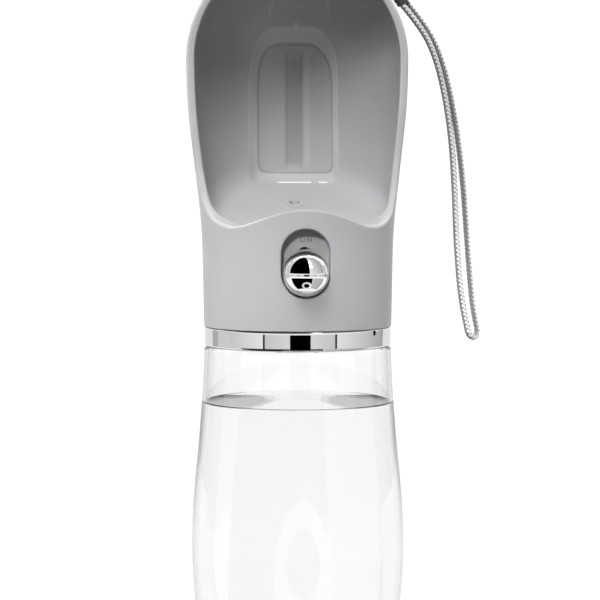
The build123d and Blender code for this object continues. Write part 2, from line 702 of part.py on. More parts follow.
def leader_points():
    """Thin loop from the bead's top, through the ear and back."""
    way = bead_way()
    start = bead_top()
    x, z = ear_place()
    turn = Vector(x, LANYARD_Y, z) - way * LEADER_REST
    reach = (turn - start).length
    narrow = Vector(0, LEADER_RADIUS + FREE_GAP, 0)
    wide = Vector(0, LEADER_SPREAD, 0)
    near = start + way * (0.22 * reach)
    far = start + way * (0.55 * reach)
    front = [start - narrow, near - narrow, far - wide, turn - wide]
    back = [turn + wide, far + wide, near + narrow, start + narrow]
    return front + back


def make_bead():
    x, z, _ = LANYARD_RUN[0]
    low = Plane(origin=(x, LANYARD_Y, z), z_dir=bead_way())
    return loft([low * Circle(BEAD_RADIUS).face(), low.offset(BEAD_LENGTH) * Circle(BEAD_TOP_RADIUS).face()])


NODES = {
    "bottle": make_bottle,
    "neck_gasket": make_gasket,
    "scoop_housing": make_housing,
    "chrome_ring": make_ring,
    "thread_collar": make_collar,
    "valve_cage": make_cage,
    "valve_spring": make_valve_spring,
    "valve_plunger": make_plunger,
    "valve_washer": make_valve_washer,
    "valve_chamber": make_chamber,
    "stem_seal": make_stem_seal,
    "outlet_tube": make_hose,
    "outlet_nozzle": make_nozzle,
    "slider_guide": make_guide,
    "guide_screws": make_screws,
    "lock_slider": make_slider,
    "slider_washer": make_slider_washer,
    "button_cap": make_button_cap,
    "button_stem": make_stem,
    "button_spring": make_button_spring,
    "stem_clip": make_clip,
    "lanyard_leader": lambda: cord_tube("lanyard_leader", leader_points(), LEADER_RADIUS),
    "lanyard_bead": make_bead,
    "lanyard_loop": lambda: cord_tube("lanyard_loop", lanyard_points(), CORD_RADIUS),
}

for node, make in NODES.items():
    export_step(make(), f"parts/{node}.step")
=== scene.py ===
"""Looks of a dog travel water bottle.

A grey scoop-shaped drinking head with a chrome ball button, a clear bottle with water in it, a
plated ring between the two, and a braided wrist loop. Lengths are millimetres in the same frame as
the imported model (front towards -Y, +Z up) and become metres where a mesh is made.
"""

import logging
import math
from dataclasses import dataclass
from enum import Enum

import bpy
import numpy as np
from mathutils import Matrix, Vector


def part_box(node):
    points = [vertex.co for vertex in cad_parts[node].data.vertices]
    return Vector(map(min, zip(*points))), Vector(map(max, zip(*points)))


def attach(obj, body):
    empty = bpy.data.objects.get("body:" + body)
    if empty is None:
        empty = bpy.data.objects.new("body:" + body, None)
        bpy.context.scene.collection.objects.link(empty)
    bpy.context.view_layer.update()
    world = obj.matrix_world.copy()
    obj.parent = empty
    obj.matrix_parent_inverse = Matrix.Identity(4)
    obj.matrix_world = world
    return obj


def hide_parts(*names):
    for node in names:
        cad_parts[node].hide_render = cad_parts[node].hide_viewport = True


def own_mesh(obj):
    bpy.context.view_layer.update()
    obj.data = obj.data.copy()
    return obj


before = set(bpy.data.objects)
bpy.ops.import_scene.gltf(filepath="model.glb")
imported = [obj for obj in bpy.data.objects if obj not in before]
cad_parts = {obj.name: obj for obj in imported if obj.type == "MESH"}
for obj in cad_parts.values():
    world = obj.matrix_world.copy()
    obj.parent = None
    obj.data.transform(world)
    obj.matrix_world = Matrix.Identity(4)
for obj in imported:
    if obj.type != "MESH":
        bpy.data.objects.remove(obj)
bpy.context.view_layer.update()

MM = 0.001
log = logging.getLogger("travel_bottle")


# ---------------------------------------------------------------- small tools
def low_corner(node: str) -> np.ndarray:
    """Lowest corner of a CAD node, in millimetres."""
    return np.array(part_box(node)[0]) / MM


def high_corner(node: str) -> np.ndarray:
    """Highest corner of a CAD node, in millimetres."""
    return np.array(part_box(node)[1]) / MM


def smooth_curve(
    at: np.ndarray,
    knots: list[float],
    values: list[float],
    start_slope: float | None = None,
    end_slope: float | None = None,
) -> np.ndarray:
    """Cubic spline through (knot, value) pairs.

    Each span is a cubic, and slope and bend run on across the knots. The unknown bends at the knots
    solve one linear system. An end is free (its bend is nought) or has the slope that is given.

    Args:
        at: Where to read the curve.
        knots: Rising places of the given values.
        values: What the curve passes through.
        start_slope: Slope at the first knot, or None.
        end_slope: Slope at the last knot, or None.

    Returns:
        The curve's values, shaped as `at`.
    """
    x = np.asarray(knots, float)
    y = np.asarray(values, float)
    span = np.diff(x)
    rise = np.diff(y) / span
    count = len(x)
    system = np.zeros((count, count))
    right = np.zeros(count)
    inner = np.arange(1, count - 1)
    system[inner, inner - 1] = span[:-1]
    system[inner, inner] = 2 * (span[:-1] + span[1:])
    system[inner, inner + 1] = span[1:]
    right[inner] = 6 * np.diff(rise)
    system[0, 0] = system[-1, -1] = 1
    if start_slope is not None:
        system[0, :2] = 2 * span[0], span[0]
        right[0] = 6 * (rise[0] - start_slope)
    if end_slope is not None:
        system[-1, -2:] = span[-1], 2 * span[-1]
        right[-1] = 6 * (end_slope - rise[-1])
    bend = np.linalg.solve(system, right)
    place = np.clip(np.searchsorted(x, at) - 1, 0, count - 2)
    step = at - x[place]
    wide = span[place]
    slope = rise[place] - wide * (2 * bend[place] + bend[place + 1]) / 6
    cubic = (bend[place + 1] - bend[place]) / (6 * wide)
    return y[place] + step * (slope + step * (bend[place] / 2 + step * cubic))


def side_line(points: list[tuple[float, float]], count: int = 800) -> np.ndarray:
    """Dense (Y, Z) points on a smooth side-view line, its parameter the length of the chords."""
    line = np.array(points)
    chord = np.concatenate([[0], np.cumsum(np.hypot(*np.diff(line, axis=0).T))])
    along = np.linspace(0, chord[-1], count)
    return np.stack([smooth_curve(along, chord, line[:, 0]), smooth_curve(along, chord, line[:, 1])], 1)


def ease(low: float, high: float, value: np.ndarray) -> np.ndarray:
    """0 below low and 1 above high, with 3t^2 - 2t^3 between them."""
    t = np.clip((value - low) / (high - low), 0, 1)
    return t * t * (3 - 2 * t)


def fractions(count: int, power: float = 1.0) -> np.ndarray:
    """count + 1 numbers from 0 to 1, closer together at the start for a power above 1."""
    return np.linspace(0, 1, count + 1) ** power


def unit(vectors: np.ndarray) -> np.ndarray:
    """Vectors of length one, along the last axis."""
    return vectors / np.maximum(np.linalg.norm(vectors, axis=-1, keepdims=True), 1e-12)


class Sheets:
    """Collects grids of points, in millimetres, and welds them into one mesh object."""

    def __init__(self) -> None:
        """Starts with no points and no faces."""
        self.points: list[np.ndarray] = []
        self.faces: list[np.ndarray] = []
        self.maps: list[np.ndarray] = []
        self.count = 0

    def add(
        self,
        grid: np.ndarray,
        flip: bool = False,
        closed: bool = False,
        keep: np.ndarray | None = None,
        uv: np.ndarray | None = None,
    ) -> None:
        """Adds a grid of quads.

        Args:
            grid: Points, shaped (rows, columns, 3).
            flip: Turns the faces over.
            closed: Joins the last column to the first.
            keep: Which quads to keep, shaped (rows - 1, columns - 1).
            uv: A map place for each point, shaped (rows, columns, 2).
        """
        rows, columns = grid.shape[:2]
        index = np.arange(rows * columns).reshape(rows, columns)
        if closed:
            index = np.concatenate([index, index[:, :1]], 1)
        quads = np.stack([index[:-1, :-1], index[:-1, 1:], index[1:, 1:], index[1:, :-1]], -1)
        quads = quads[keep] if keep is not None else quads.reshape(-1, 4)
        if flip:
            quads = quads[:, ::-1]
        self.points.append(grid.reshape(-1, 3))
        self.faces.append(quads + self.count)
        self.maps.append(np.zeros((rows * columns, 2)) if uv is None else uv.reshape(-1, 2))
        self.count += rows * columns

    def add_both_sides(self, grid: np.ndarray, flip: bool = False, keep: np.ndarray | None = None) -> None:
        """Adds a grid of the right half, and its mirror image across X = 0."""
        self.add(grid, flip, keep=keep)
        self.add(grid * (-1, 1, 1), not flip, keep=keep)

    def add_mesh(self, points: np.ndarray, faces: np.ndarray) -> None:
        """Adds loose quads, or triangles as quads whose last corner is repeated."""
        self.points.append(points)
        self.faces.append(faces + self.count)
        self.maps.append(np.zeros((len(points), 2)))
        self.count += len(points)

    def build(self, name: str, weld: float = 0.004, sharp: float | None = None) -> bpy.types.Object:
        """Welds the seams and makes the object.

        Points that round to the same place become one point, and a quad that loses a corner becomes a
        triangle.

        Args:
            name: The object's name.
            weld: Points nearer than about this, in millimetres, become one.
            sharp: Angle in degrees past which an edge shows as sharp, or None.

        Returns:
            The object, smooth shaded.
        """
        points = np.concatenate(self.points)
        faces = np.concatenate(self.faces)
        maps = np.concatenate(self.maps)
        _, first, same = np.unique(np.round(points / weld), axis=0, return_index=True, return_inverse=True)
        corners = same.reshape(-1)[faces]
        following = np.roll(corners, -1, axis=1)
        stays = corners != following
        sides = stays.sum(1)
        alike = (corners[:, 0] == corners[:, 2]) | (corners[:, 1] == corners[:, 3])
        good = (sides >= 3) & ~alike
        corners, stays, sides, faces = corners[good], stays[good], sides[good], faces[good]
        loops = corners[stays]
        starts = np.concatenate([[0], np.cumsum(sides)[:-1]])
        mesh = bpy.data.meshes.new(name)
        mesh.vertices.add(len(first))
        mesh.vertices.foreach_set("co", (points[first] * MM).astype(np.float32).ravel())
        mesh.loops.add(len(loops))
        mesh.loops.foreach_set("vertex_index", loops.astype(np.int32))
        mesh.polygons.add(len(sides))
        mesh.polygons.foreach_set("loop_start", starts.astype(np.int32))
        layer = mesh.uv_layers.new(name="surface")
        layer.data.foreach_set("uv", maps[faces[stays]].astype(np.float32).ravel())
        mesh.update(calc_edges=True)
        mesh.validate()
        mesh.polygons.foreach_set("use_smooth", np.ones(len(mesh.polygons), bool))
        if sharp is not None:
            mesh.set_sharp_from_angle(angle=math.radians(sharp))
        made = bpy.data.objects.new(name, mesh)
        bpy.context.scene.collection.objects.link(made)
        return made


def turned(profile: np.ndarray, count: int) -> np.ndarray:
    """A profile of (radius, height) carried round Z: each row is radius (cos, sin) of the turn."""
    turn = np.linspace(0, 2 * math.pi, count, endpoint=False)
    x = profile[:, :1] * np.cos(turn)
    y = profile[:, :1] * np.sin(turn)
    z = np.broadcast_to(profile[:, 1:], x.shape)
    return np.stack([x, y, z], -1)


def rounded_profile(corners: list[tuple[float, float, float]], steps: int = 6) -> np.ndarray:
    """Closed outline with rounded corners.

    Each corner (radius, height, rounding) becomes a quadratic curve that starts and ends one rounding
    away from it, along its two sides.
    """
    spots = np.array([corner[:2] for corner in corners])
    outline = []
    for here, before, after, (_, _, rounding) in zip(spots, np.roll(spots, 1, 0), np.roll(spots, -1, 0), corners):
        start = here + unit(before - here) * rounding
        end = here + unit(after - here) * rounding
        t = np.linspace(0, 1, steps if rounding else 1)[:, None]
        outline.append((1 - t) ** 2 * start + 2 * t * (1 - t) * here + t * t * end)
    return np.concatenate(outline)


# ---------------------------------------------------------------- scoop housing
@dataclass(frozen=True)
class HeadForm:
    """The head's skin as one smooth form: a barrel that widens into a domed scoop.

    A place on the skin is (turn, climb): turn runs from 0 at the front to pi at the back, and climb is
    the height, or above the arch's centre the length of arc over the dome.
    """

    bottom: float
    arch_centre: float
    barrel_radius: float = 32.3
    arch_radius: float = 38.2
    arch_depth: float = 36.0
    wall: float = 2.8
    heights: tuple[float, ...] = (0.0, 16.0, 31.0, 45.0, 62.0, 76.0, 91.8)
    half_widths: tuple[float, ...] = (32.3, 32.6, 33.0, 34.2, 36.3, 37.7, 38.2)
    depths: tuple[float, ...] = (32.3, 32.5, 32.9, 33.8, 35.2, 35.9, 36.0)
    rim_plane: float = -1.5
    rim_top: float = 64.0
    rim_side: tuple[tuple[float, float], ...] = (
        (-46.0, 54.0), (-33.0, 40.5), (-24.6, 35.1), (-15.0, 37.3), (-8.0, 43.0), (-3.2, 52.0), (-1.5, 64.0),
    )
    floor_side: tuple[tuple[float, float], ...] = (
        (-45.0, 33.5), (-24.0, 34.0), (-6.0, 36.4), (13.0, 42.0), (24.0, 47.0), (45.0, 58.0),
    )
    bowl_fillet: float = 8.0
    floor_wall: float = 2.2
    outlet_y: float = 13.0
    outlet_radius: float = 3.1

    def half_width(self, z: np.ndarray) -> np.ndarray:
        """Half the head's width at a height."""
        return smooth_curve(z - self.bottom, self.heights, self.half_widths, end_slope=0.0)

    def depth(self, z: np.ndarray) -> np.ndarray:
        """How far the head's back stands behind its axis at a height."""
        return smooth_curve(z - self.bottom, self.heights, self.depths, end_slope=0.0)

    def rim_height(self, y: np.ndarray) -> np.ndarray:
        """Height of the rim's cut at a place in the side view."""
        line = side_line(list(self.rim_side))
        return self.bottom + np.interp(y, line[:, 0], line[:, 1])

    def floor_height(self, y: np.ndarray) -> np.ndarray:
        """Height of the scoop's floor at a place in the side view."""
        line = side_line(list(self.floor_side))
        return self.bottom + np.interp(y, line[:, 0], line[:, 1])

    def skin(self, turn: np.ndarray, climb: np.ndarray, inset: float = 0.0) -> np.ndarray:
        """Points of the skin.

        Up to the arch's centre a level cut is an ellipse, (half width sin, -depth cos) of the turn.
        Above it that ellipse's half width swings up about the Y axis, by the arc climbed over the
        arch's radius.
        """
        z = np.minimum(climb, self.arch_centre)
        reach = (self.half_width(z) - inset) * np.sin(turn)
        swing = np.maximum(climb - self.arch_centre, 0) / self.arch_radius
        y = -(self.depth(z) - inset) * np.cos(turn)
        return np.stack([reach * np.cos(swing), y + 0 * swing, z + reach * np.sin(swing)], -1)

    def rim_turn(self, climb: np.ndarray, inset: float) -> np.ndarray:
        """Turn at which the skin meets the plane of the rim's upright part."""
        z = np.minimum(climb, self.arch_centre)
        return np.arccos(-self.rim_plane / (self.depth(z) - inset))

    @property
    def arch_top(self) -> float:
        """Climb at the top of the arch."""
        return self.arch_centre + self.arch_radius * math.pi / 2


@dataclass(frozen=True)
class Panel:
    """Bottle-shaped panel that is moulded into the scoop's back wall."""

    middle: float = 1.2
    half: float = 15.2
    foot: float = 189.3
    shoulder: float = 232.0
    neck_half: float = 10.0
    top: float = 242.0
    depth: float = 1.7
    border: float = 3.6
    corner: float = 5.0
    steep: float = 2.0
    gentle: float = 0.62
    groove_middle: float = 1.6
    groove_half: float = 2.9
    groove_depth: float = 0.7
    groove_foot: float = 194.0
    groove_top: float = 234.0

    def inside(self, x: np.ndarray, z: np.ndarray) -> np.ndarray:
        """How far a place is inside the outline: the least distance to its straight sides.

        The right side's distance is doubled, which makes its border narrow, and the top's is cut
        down, which makes its border wide.
        """
        slope = unit(np.array([self.top - self.shoulder, self.half - self.neck_half]))
        off = x - self.middle
        side = np.minimum(self.half + off, (self.half - off) * self.steep)
        cut = (self.half - np.abs(off)) * slope[0] + (self.shoulder - z) * slope[1]
        rows = np.stack([side, cut, (self.top - z) * self.gentle, z - self.foot])
        soft = 1.6
        return -soft * np.log(np.exp(-np.clip(rows, -30, 60) / soft).sum(0))

    def sunk(self, x: np.ndarray, z: np.ndarray) -> np.ndarray:
        """Depth of the panel: a slope across its border, and a shallow flute down its middle."""
        near = np.clip((self.inside(x, z) + 1.3) / self.border, 0, 1)
        across = 1 - ease(self.groove_half - 0.6, self.groove_half + 0.3, np.abs(x - self.groove_middle))
        up = ease(self.groove_foot - 2, self.groove_foot + 2, z) * (1 - ease(self.groove_top - 2, self.groove_top + 2, z))
        return self.depth * near + self.groove_depth * across * up


@dataclass(frozen=True)
class Slot:
    """Round-ended recess in the front of the barrel that the button slides in."""

    half: float = 8.15
    low: float = 158.4
    travel: float = 6.5
    floor: float = -26.5
    floor_wall: float = 1.6
    stem_half: float = 2.15
    lip: float = 0.75

    def edge(self, x: np.ndarray, z: np.ndarray, half: float) -> np.ndarray:
        """The place on the round-ended outline nearest to (x, z), as (X, Z).

        It lies at the outline's half width from the middle line, in the direction of the place.
        """
        middle = np.clip(z, self.low, self.low + self.travel)
        away = unit(np.stack([x, z - middle], -1))
        return np.stack([0 * middle, middle], -1) + half * away


class Housing:
    """Grey moulded shell: barrel, scoop, rim, button recess and lanyard ear."""

    rim_round: float = 1.15
    band: tuple[float, ...] = (1.15, 1.7, 2.4)

    def __init__(self, form: HeadForm, panel: Panel, slot: Slot) -> None:
        """Keeps the sizes and works out the rim's two edges."""
        self.form = form
        self.panel = panel
        self.slot = slot
        self.sheets = Sheets()
        self.outer_turn, self.outer_climb = self.rim_line(0.0, None)
        self.inner_turn, self.inner_climb = self.rim_line(form.wall, self.outer_turn)

    # ---- inner skin ----
    def wall_foot(self, turn: np.ndarray) -> np.ndarray:
        """Climb at which the inner wall runs into the floor's fillet."""
        form = self.form
        z = form.floor_height(0 * turn) + form.bowl_fillet
        for _ in range(6):
            z = form.floor_height(-(form.depth(z) - form.wall) * np.cos(turn)) + form.bowl_fillet
        return z

    def bowl(self, turn: np.ndarray, climb: np.ndarray, side: int = 1) -> np.ndarray:
        """Points of the scoop's inside, on its right (side 1) or left (side -1).

        Above its foot the wall is the skin, moved in. Below it the way first runs round the fillet, a
        quarter circle, and then along the floor towards the outlet: a point stands a share of the way
        from the outlet's middle to the wall, at the floor's height plus the fillet's lift.
        """
        form = self.form
        foot = self.wall_foot(turn)
        wall = form.skin(turn, np.maximum(climb, foot), form.wall)
        fillet = form.bowl_fillet
        down = np.maximum(foot - climb, 0)
        angle = np.minimum(down / fillet, math.pi / 2)
        away = fillet * (1 - np.cos(angle)) + np.maximum(down - fillet * math.pi / 2, 0)
        lift = fillet * (1 - np.sin(angle))
        middle = np.array([0.0, form.outlet_y])
        spoke = wall[..., :2] - middle
        reach = np.linalg.norm(spoke, axis=-1)
        share = (reach - away) / reach
        flat = middle + spoke * share[..., None]
        low = np.stack([flat[..., 0], flat[..., 1], form.floor_height(flat[..., 1]) + lift], -1)
        points = np.where((down > 0)[..., None], low, wall)
        return self.sink_panel(points * (side, 1, 1))

    def sink_panel(self, points: np.ndarray) -> np.ndarray:
        """Moves the points inside the panel's outline back, to a wall that is moved in less."""
        form = self.form
        x, y, z = points[..., 0], points[..., 1], points[..., 2]
        inset = form.wall - self.panel.sunk(x, z)
        up = np.maximum(z - form.arch_centre, 0)
        level = np.minimum(z, form.arch_centre)
        across = (x * x + up * up) / (form.half_width(level) - inset) ** 2
        back = (form.depth(level) - inset) * np.sqrt(np.clip(1 - across, 0, 1))
        share = ease(0.0, 0.9, self.panel.inside(x, z) + 1.3) * (y > 0)
        return np.stack([x, np.maximum(y, y + (back - y) * share), z], -1)

    def floor_reach(self, turn: np.ndarray) -> np.ndarray:
        """Climb at which the way along the floor reaches the outlet's hole."""
        form = self.form
        foot = self.wall_foot(turn)
        wall = form.skin(turn, foot, form.wall)
        reach = np.hypot(wall[..., 0], wall[..., 1] - form.outlet_y)
        return foot - form.bowl_fillet * (math.pi / 2 - 1) - reach + form.outlet_radius

    # ---- rim ----
    def rim_climb(self, turn: np.ndarray, inset: float) -> np.ndarray:
        """Climb of the front part of the rim's edge: where the skin meets the rim's side-view cut."""
        form = self.form
        if inset == 0:
            z = form.rim_height(-form.depth(0 * turn + 200.0) * np.cos(turn))
            for _ in range(12):
                z = form.rim_height(-form.depth(z) * np.cos(turn))
            return z
        top = form.bottom + form.rim_top
        foot = self.wall_foot(turn)[:, None]
        climb = foot - 14 + (top + 1 - foot + 14) * np.linspace(0, 1, 900)
        points = self.bowl(np.broadcast_to(turn[:, None], climb.shape), climb)
        over = points[..., 2] - form.rim_height(np.minimum(points[..., 1], form.rim_plane))
        place = np.maximum(np.argmax(over > 0, 1), 1)
        row = np.arange(len(turn))
        before, after = over[row, place - 1], over[row, place]
        share = np.clip(-before / (after - before), 0, 1)
        return climb[row, place - 1] + share * (climb[row, place] - climb[row, place - 1])

    def rim_line(self, inset: float, like: np.ndarray | None) -> tuple[np.ndarray, np.ndarray]:
        """The rim's edge on one skin, from the front's middle to the arch's top.

        Args:
            inset: How far the skin is moved in.
            like: The other skin's turns, so that both edges have their points side by side.

        Returns:
            The turns and the climbs of its points.
        """
        form = self.form
        top = form.bottom + form.rim_top
        corner = float(form.rim_turn(np.array(top), inset))
        dense = np.linspace(0, corner, 1500)
        climb = self.rim_climb(dense, inset)
        climb = np.minimum(climb, top)
        climb[-1] = top
        front = 66
        if like is None:
            step = np.hypot(np.diff(dense) * form.barrel_radius, np.diff(climb))
            along = np.concatenate([[0], np.cumsum(step)])
            turns = np.interp(np.linspace(0, along[-1], front + 1), along, dense)
        else:
            turns = like[:front + 1] * corner / like[front]
        low = np.interp(turns, dense, climb)
        upright = np.linspace(top, form.arch_centre, 27)[1:]
        over = np.linspace(form.arch_centre, form.arch_top, 57)[1:]
        high = np.concatenate([upright, over])
        return np.concatenate([turns, form.rim_turn(high, inset)]), np.concatenate([low, high])

    def away(self, turn: np.ndarray, climb: np.ndarray) -> np.ndarray:
        """Direction on the skin, (turn, climb) per millimetre, square to the rim and away from it.

        It is the edge's own direction turned by a quarter, where a turn counts as its length of arc.
        """
        radius = np.where(climb > self.form.arch_centre, self.form.arch_radius, self.form.half_width(
            np.minimum(climb, self.form.arch_centre)))
        along = unit(np.stack([np.gradient(turn) * radius, np.gradient(climb)], -1))
        for _ in range(3):
            along[1:-1] = unit(along[:-2] + 2 * along[1:-1] + along[2:])
        along[0] = (1, 0)
        along[-1] = (0, 1)
        return np.stack([along[:, 1] / radius, -along[:, 0]], -1)

    def ring_grid(self, window: np.ndarray, half: float, steps: int) -> np.ndarray:
        """Rows of (X, Z) places from the border of a window in to a round-ended outline.

        Args:
            window: Places on the window's border, shaped (points, 2).
            half: The outline's half width.
            steps: How many rows.

        Returns:
            Places, shaped (steps + 1, points, 2).
        """
        edge = self.slot.edge(window[:, 0], window[:, 1], half)
        share = fractions(steps)[:, None, None]
        return window + (edge - window) * share

    @staticmethod
    def border(grid: np.ndarray, rows: tuple[int, int], columns: int) -> np.ndarray:
        """Points on a window's border in a half grid: along its top, down its side, back along its foot."""
        low, high = rows
        top = grid[high, :columns + 1]
        side = grid[low:high, columns][::-1]
        foot = grid[low, :columns][::-1]
        return np.concatenate([top, side, foot])

    def add_halves(self, turn: np.ndarray, climb: np.ndarray, inner: bool, keep: np.ndarray | None = None) -> None:
        """Adds a grid of the outer skin, or of the inner one with its panel, on both sides."""
        if not inner:
            self.sheets.add_both_sides(self.form.skin(turn, climb), keep=keep)
            return
        self.sheets.add(self.bowl(turn, climb), flip=True)
        self.sheets.add(self.bowl(turn, climb, side=-1))

    def add_skin(self, inner: bool) -> None:
        """Adds the outer or the inner skin: a band along the rim, and three grids that meet in it."""
        form = self.form
        turn, climb = (self.inner_turn, self.inner_climb) if inner else (self.outer_turn, self.outer_climb)
        surface = self.bowl if inner else form.skin
        away = self.away(turn, climb)
        reach = np.array(self.band)[:, None]
        band_turn = turn + away[:, 0] * reach
        band_climb = climb + away[:, 1] * reach
        self.sheets.add_both_sides(surface(band_turn, band_climb), flip=not inner)
        edge_turn, edge_climb = band_turn[-1], band_climb[-1]
        split = int(np.argmax(away[:, 1] > -0.7))
        columns = 84 if inner else 58
        share = fractions(columns)
        upper_turn = edge_turn[split:, None] + (math.pi - edge_turn[split:, None]) * share
        upper_climb = np.broadcast_to(edge_climb[split:, None], upper_turn.shape)
        self.add_halves(upper_turn, upper_climb, inner)
        back_turn = upper_turn[0][1:]
        low_turn = np.concatenate([edge_turn[:split + 1], back_turn])
        high = np.concatenate([edge_climb[:split + 1], np.full(len(back_turn), edge_climb[split])])
        if inner:
            foot = self.wall_foot(low_turn)
            stops = [self.floor_reach(low_turn), foot - form.bowl_fillet * math.pi / 2, high]
            counts = (22, 34)
            stops[1] = np.minimum(stops[1], high - 0.5)
        else:
            stops = [np.full(len(low_turn), form.bottom + 0.35), high]
            counts = (38,)
        rows = [stops[0][None]]
        for start, end, count in zip(stops, stops[1:], counts):
            rows.append(start + (end - start) * fractions(count)[1:, None])
        grid_climb = np.concatenate(rows)
        grid_turn = np.broadcast_to(low_turn, grid_climb.shape)
        keep = None if inner else self.add_slot_mouth(form.skin(grid_turn, grid_climb))
        self.add_halves(grid_turn, grid_climb, inner, keep)

    def add_slot_mouth(self, points: np.ndarray) -> np.ndarray:
        """Adds the skin round the button recess, its rounded lip, its wall and its floor.

        Args:
            points: The lower part of the outer skin, of which a window is left out.

        Returns:
            Which quads of that grid stay.
        """
        slot = self.slot
        column = int(np.argmax(points[0, :, 0] > slot.half + 4.0))
        low = int(np.argmax(points[:, 0, 2] > slot.low - slot.half - 3.2)) - 1
        high = points.shape[0] - 2
        keep = np.ones((points.shape[0] - 1, points.shape[1] - 1), bool)
        keep[low:high, :column] = False
        border = self.border(points, (low, high), column)
        flat = self.ring_grid(border[:, [0, 2]], slot.half + slot.lip, 10)
        rows = [self.on_front(flat)]
        rows[0][0] = border
        middle = np.clip(flat[-1, :, 1], slot.low, slot.low + slot.travel)
        away = unit(flat[-1] - np.stack([0 * middle, middle], -1))
        lip_rows = []
        for t in np.linspace(0, 1, 7)[1:]:
            out = slot.half + slot.lip * (1 - t) ** 2
            sink = slot.lip * t * t
            place = np.stack([0 * middle, middle], -1) + away * out
            lip = self.on_front(place[None])[0]
            lip[:, 1] += sink
            lip_rows.append(lip)
        wall_start = lip_rows[-1]
        for t in fractions(10)[1:-1]:
            row = wall_start.copy()
            row[:, 1] += (slot.floor - 0.5 - wall_start[:, 1]) * t
            lip_rows.append(row)
        for t in np.linspace(0, 1, 5):
            row = wall_start.copy()
            row[:, [0, 2]] = np.stack([0 * middle, middle], -1) + away * (slot.half - 0.5 * t * t)
            row[:, 1] = slot.floor - 0.5 * (1 - t) ** 2
            lip_rows.append(row)
        inner = slot.half - 0.5
        for t in fractions(12)[1:]:
            row = wall_start.copy()
            row[:, [0, 2]] = np.stack([0 * middle, middle], -1) + away * (inner + (slot.stem_half - inner) * t)
            row[:, 1] = slot.floor
            lip_rows.append(row)
        back = lip_rows[-1].copy()
        back[:, 1] = slot.floor + slot.floor_wall
        lip_rows.append(back)
        self.sheets.add_both_sides(np.concatenate([rows[0], np.array(lip_rows)]), flip=True)
        return keep

    def on_front(self, flat: np.ndarray) -> np.ndarray:
        """Points of the outer skin at (X, Z) places on its front."""
        form = self.form
        x, z = flat[..., 0], flat[..., 1]
        across = np.clip(1 - (x / form.half_width(z)) ** 2, 0, 1)
        return np.stack([x, -form.depth(z) * np.sqrt(across), z], -1)

    def add_rim(self) -> None:
        """Adds the rim between the skins: a flat strip whose two edges are quadratic curves.

        Each curve starts on a skin, one rounding away from the edge, has the edge itself as its
        control point, and ends one rounding along the strip.
        """
        form = self.form
        outer = form.skin(self.outer_turn, self.outer_climb)
        inner = self.bowl(self.inner_turn, self.inner_climb)
        across = unit(inner - outer)
        away_outer = self.away(self.outer_turn, self.outer_climb) * self.rim_round
        away_inner = self.away(self.inner_turn, self.inner_climb) * self.rim_round
        start = form.skin(self.outer_turn + away_outer[:, 0], self.outer_climb + away_outer[:, 1])
        end = self.bowl(self.inner_turn + away_inner[:, 0], self.inner_climb + away_inner[:, 1])
        rows = []
        for t in np.linspace(0, 1, 8):
            rows.append((1 - t) ** 2 * start + 2 * t * (1 - t) * outer + t * t * (outer + across * self.rim_round))
        first = rows[-1]
        last = inner - across * self.rim_round
        for t in (0.33, 0.67):
            rows.append(first + (last - first) * t)
        for t in np.linspace(0, 1, 8):
            rows.append((1 - t) ** 2 * last + 2 * t * (1 - t) * inner + t * t * end)
        self.sheets.add_both_sides(np.array(rows), flip=False)

    def add_under_side(self, bore: float, shelf: float, block_half: float) -> None:
        """Adds the inside below the scoop's floor, down to the barrel's bore and its lower edge.

        Args:
            bore: Radius of the barrel's bore.
            shelf: Height at which the bore ends and the thinner wall begins.
            block_half: Half width of the thick part behind the button recess.
        """
        form, slot = self.form, self.slot
        split = 60
        turn = np.concatenate([np.linspace(0, math.pi / 6, 16), np.linspace(math.pi / 6, math.pi, split)[1:]])
        edge = form.skin(turn, np.full(len(turn), form.bottom + 0.35))
        foot = form.skin(turn, np.full(len(turn), form.bottom), 0.35)
        ring = np.stack([bore * np.sin(turn), -bore * np.cos(turn), 0 * turn + form.bottom], -1)
        top = ring + (0, 0, shelf - form.bottom)
        under = form.floor_height(-(form.depth(0 * turn + 172.0) - form.wall) * np.cos(turn)) - form.floor_wall
        climb = shelf + (under - shelf) * fractions(26)[:, None]
        wall = form.skin(np.broadcast_to(turn, climb.shape), climb, form.wall)
        back = slot.floor + slot.floor_wall
        blocked = ease(block_half, block_half + 0.4, np.abs(wall[..., 0]))
        wall[..., 1] = np.maximum(wall[..., 1], back + (wall[..., 1] - back) * blocked)
        middle = np.array([0.0, form.outlet_y])
        spoke = wall[-1][:, :2] - middle
        reach = np.linalg.norm(spoke, axis=1)
        rows = []
        for t in fractions(14)[1:]:
            share = 1 - t * (1 - form.outlet_radius / reach)
            flat = middle + spoke * share[:, None]
            rows.append(np.column_stack([flat, form.floor_height(flat[:, 1]) - form.floor_wall]))
        hole = rows[-1].copy()
        hole[:, 2] = form.floor_height(hole[:, 1])
        rows.append(hole)
        column = int(np.argmax(wall[0, :, 0] > slot.stem_half + 3.0))
        low = int(np.argmax(wall[:, 0, 2] > slot.low - slot.stem_half - 2.0)) - 1
        high = int(np.argmax(wall[:, 0, 2] > slot.low + slot.travel + slot.stem_half + 1.0))
        keep = np.ones((wall.shape[0] - 1, wall.shape[1] - 1), bool)
        keep[low:high, :column] = False
        border = self.border(wall, (low, high), column)
        flat = self.ring_grid(border[:, [0, 2]], slot.stem_half, 4)
        mouth = np.stack([flat[..., 0], 0 * flat[..., 0] + back, flat[..., 1]], -1)
        mouth[0] = border
        self.sheets.add_both_sides(mouth, flip=False)
        self.sheets.add_both_sides(wall, flip=True, keep=keep)
        self.sheets.add_both_sides(np.stack([edge, foot, ring, top, wall[0]]), flip=True)
        self.sheets.add_both_sides(np.concatenate([wall[-1:], np.array(rows)]), flip=True)

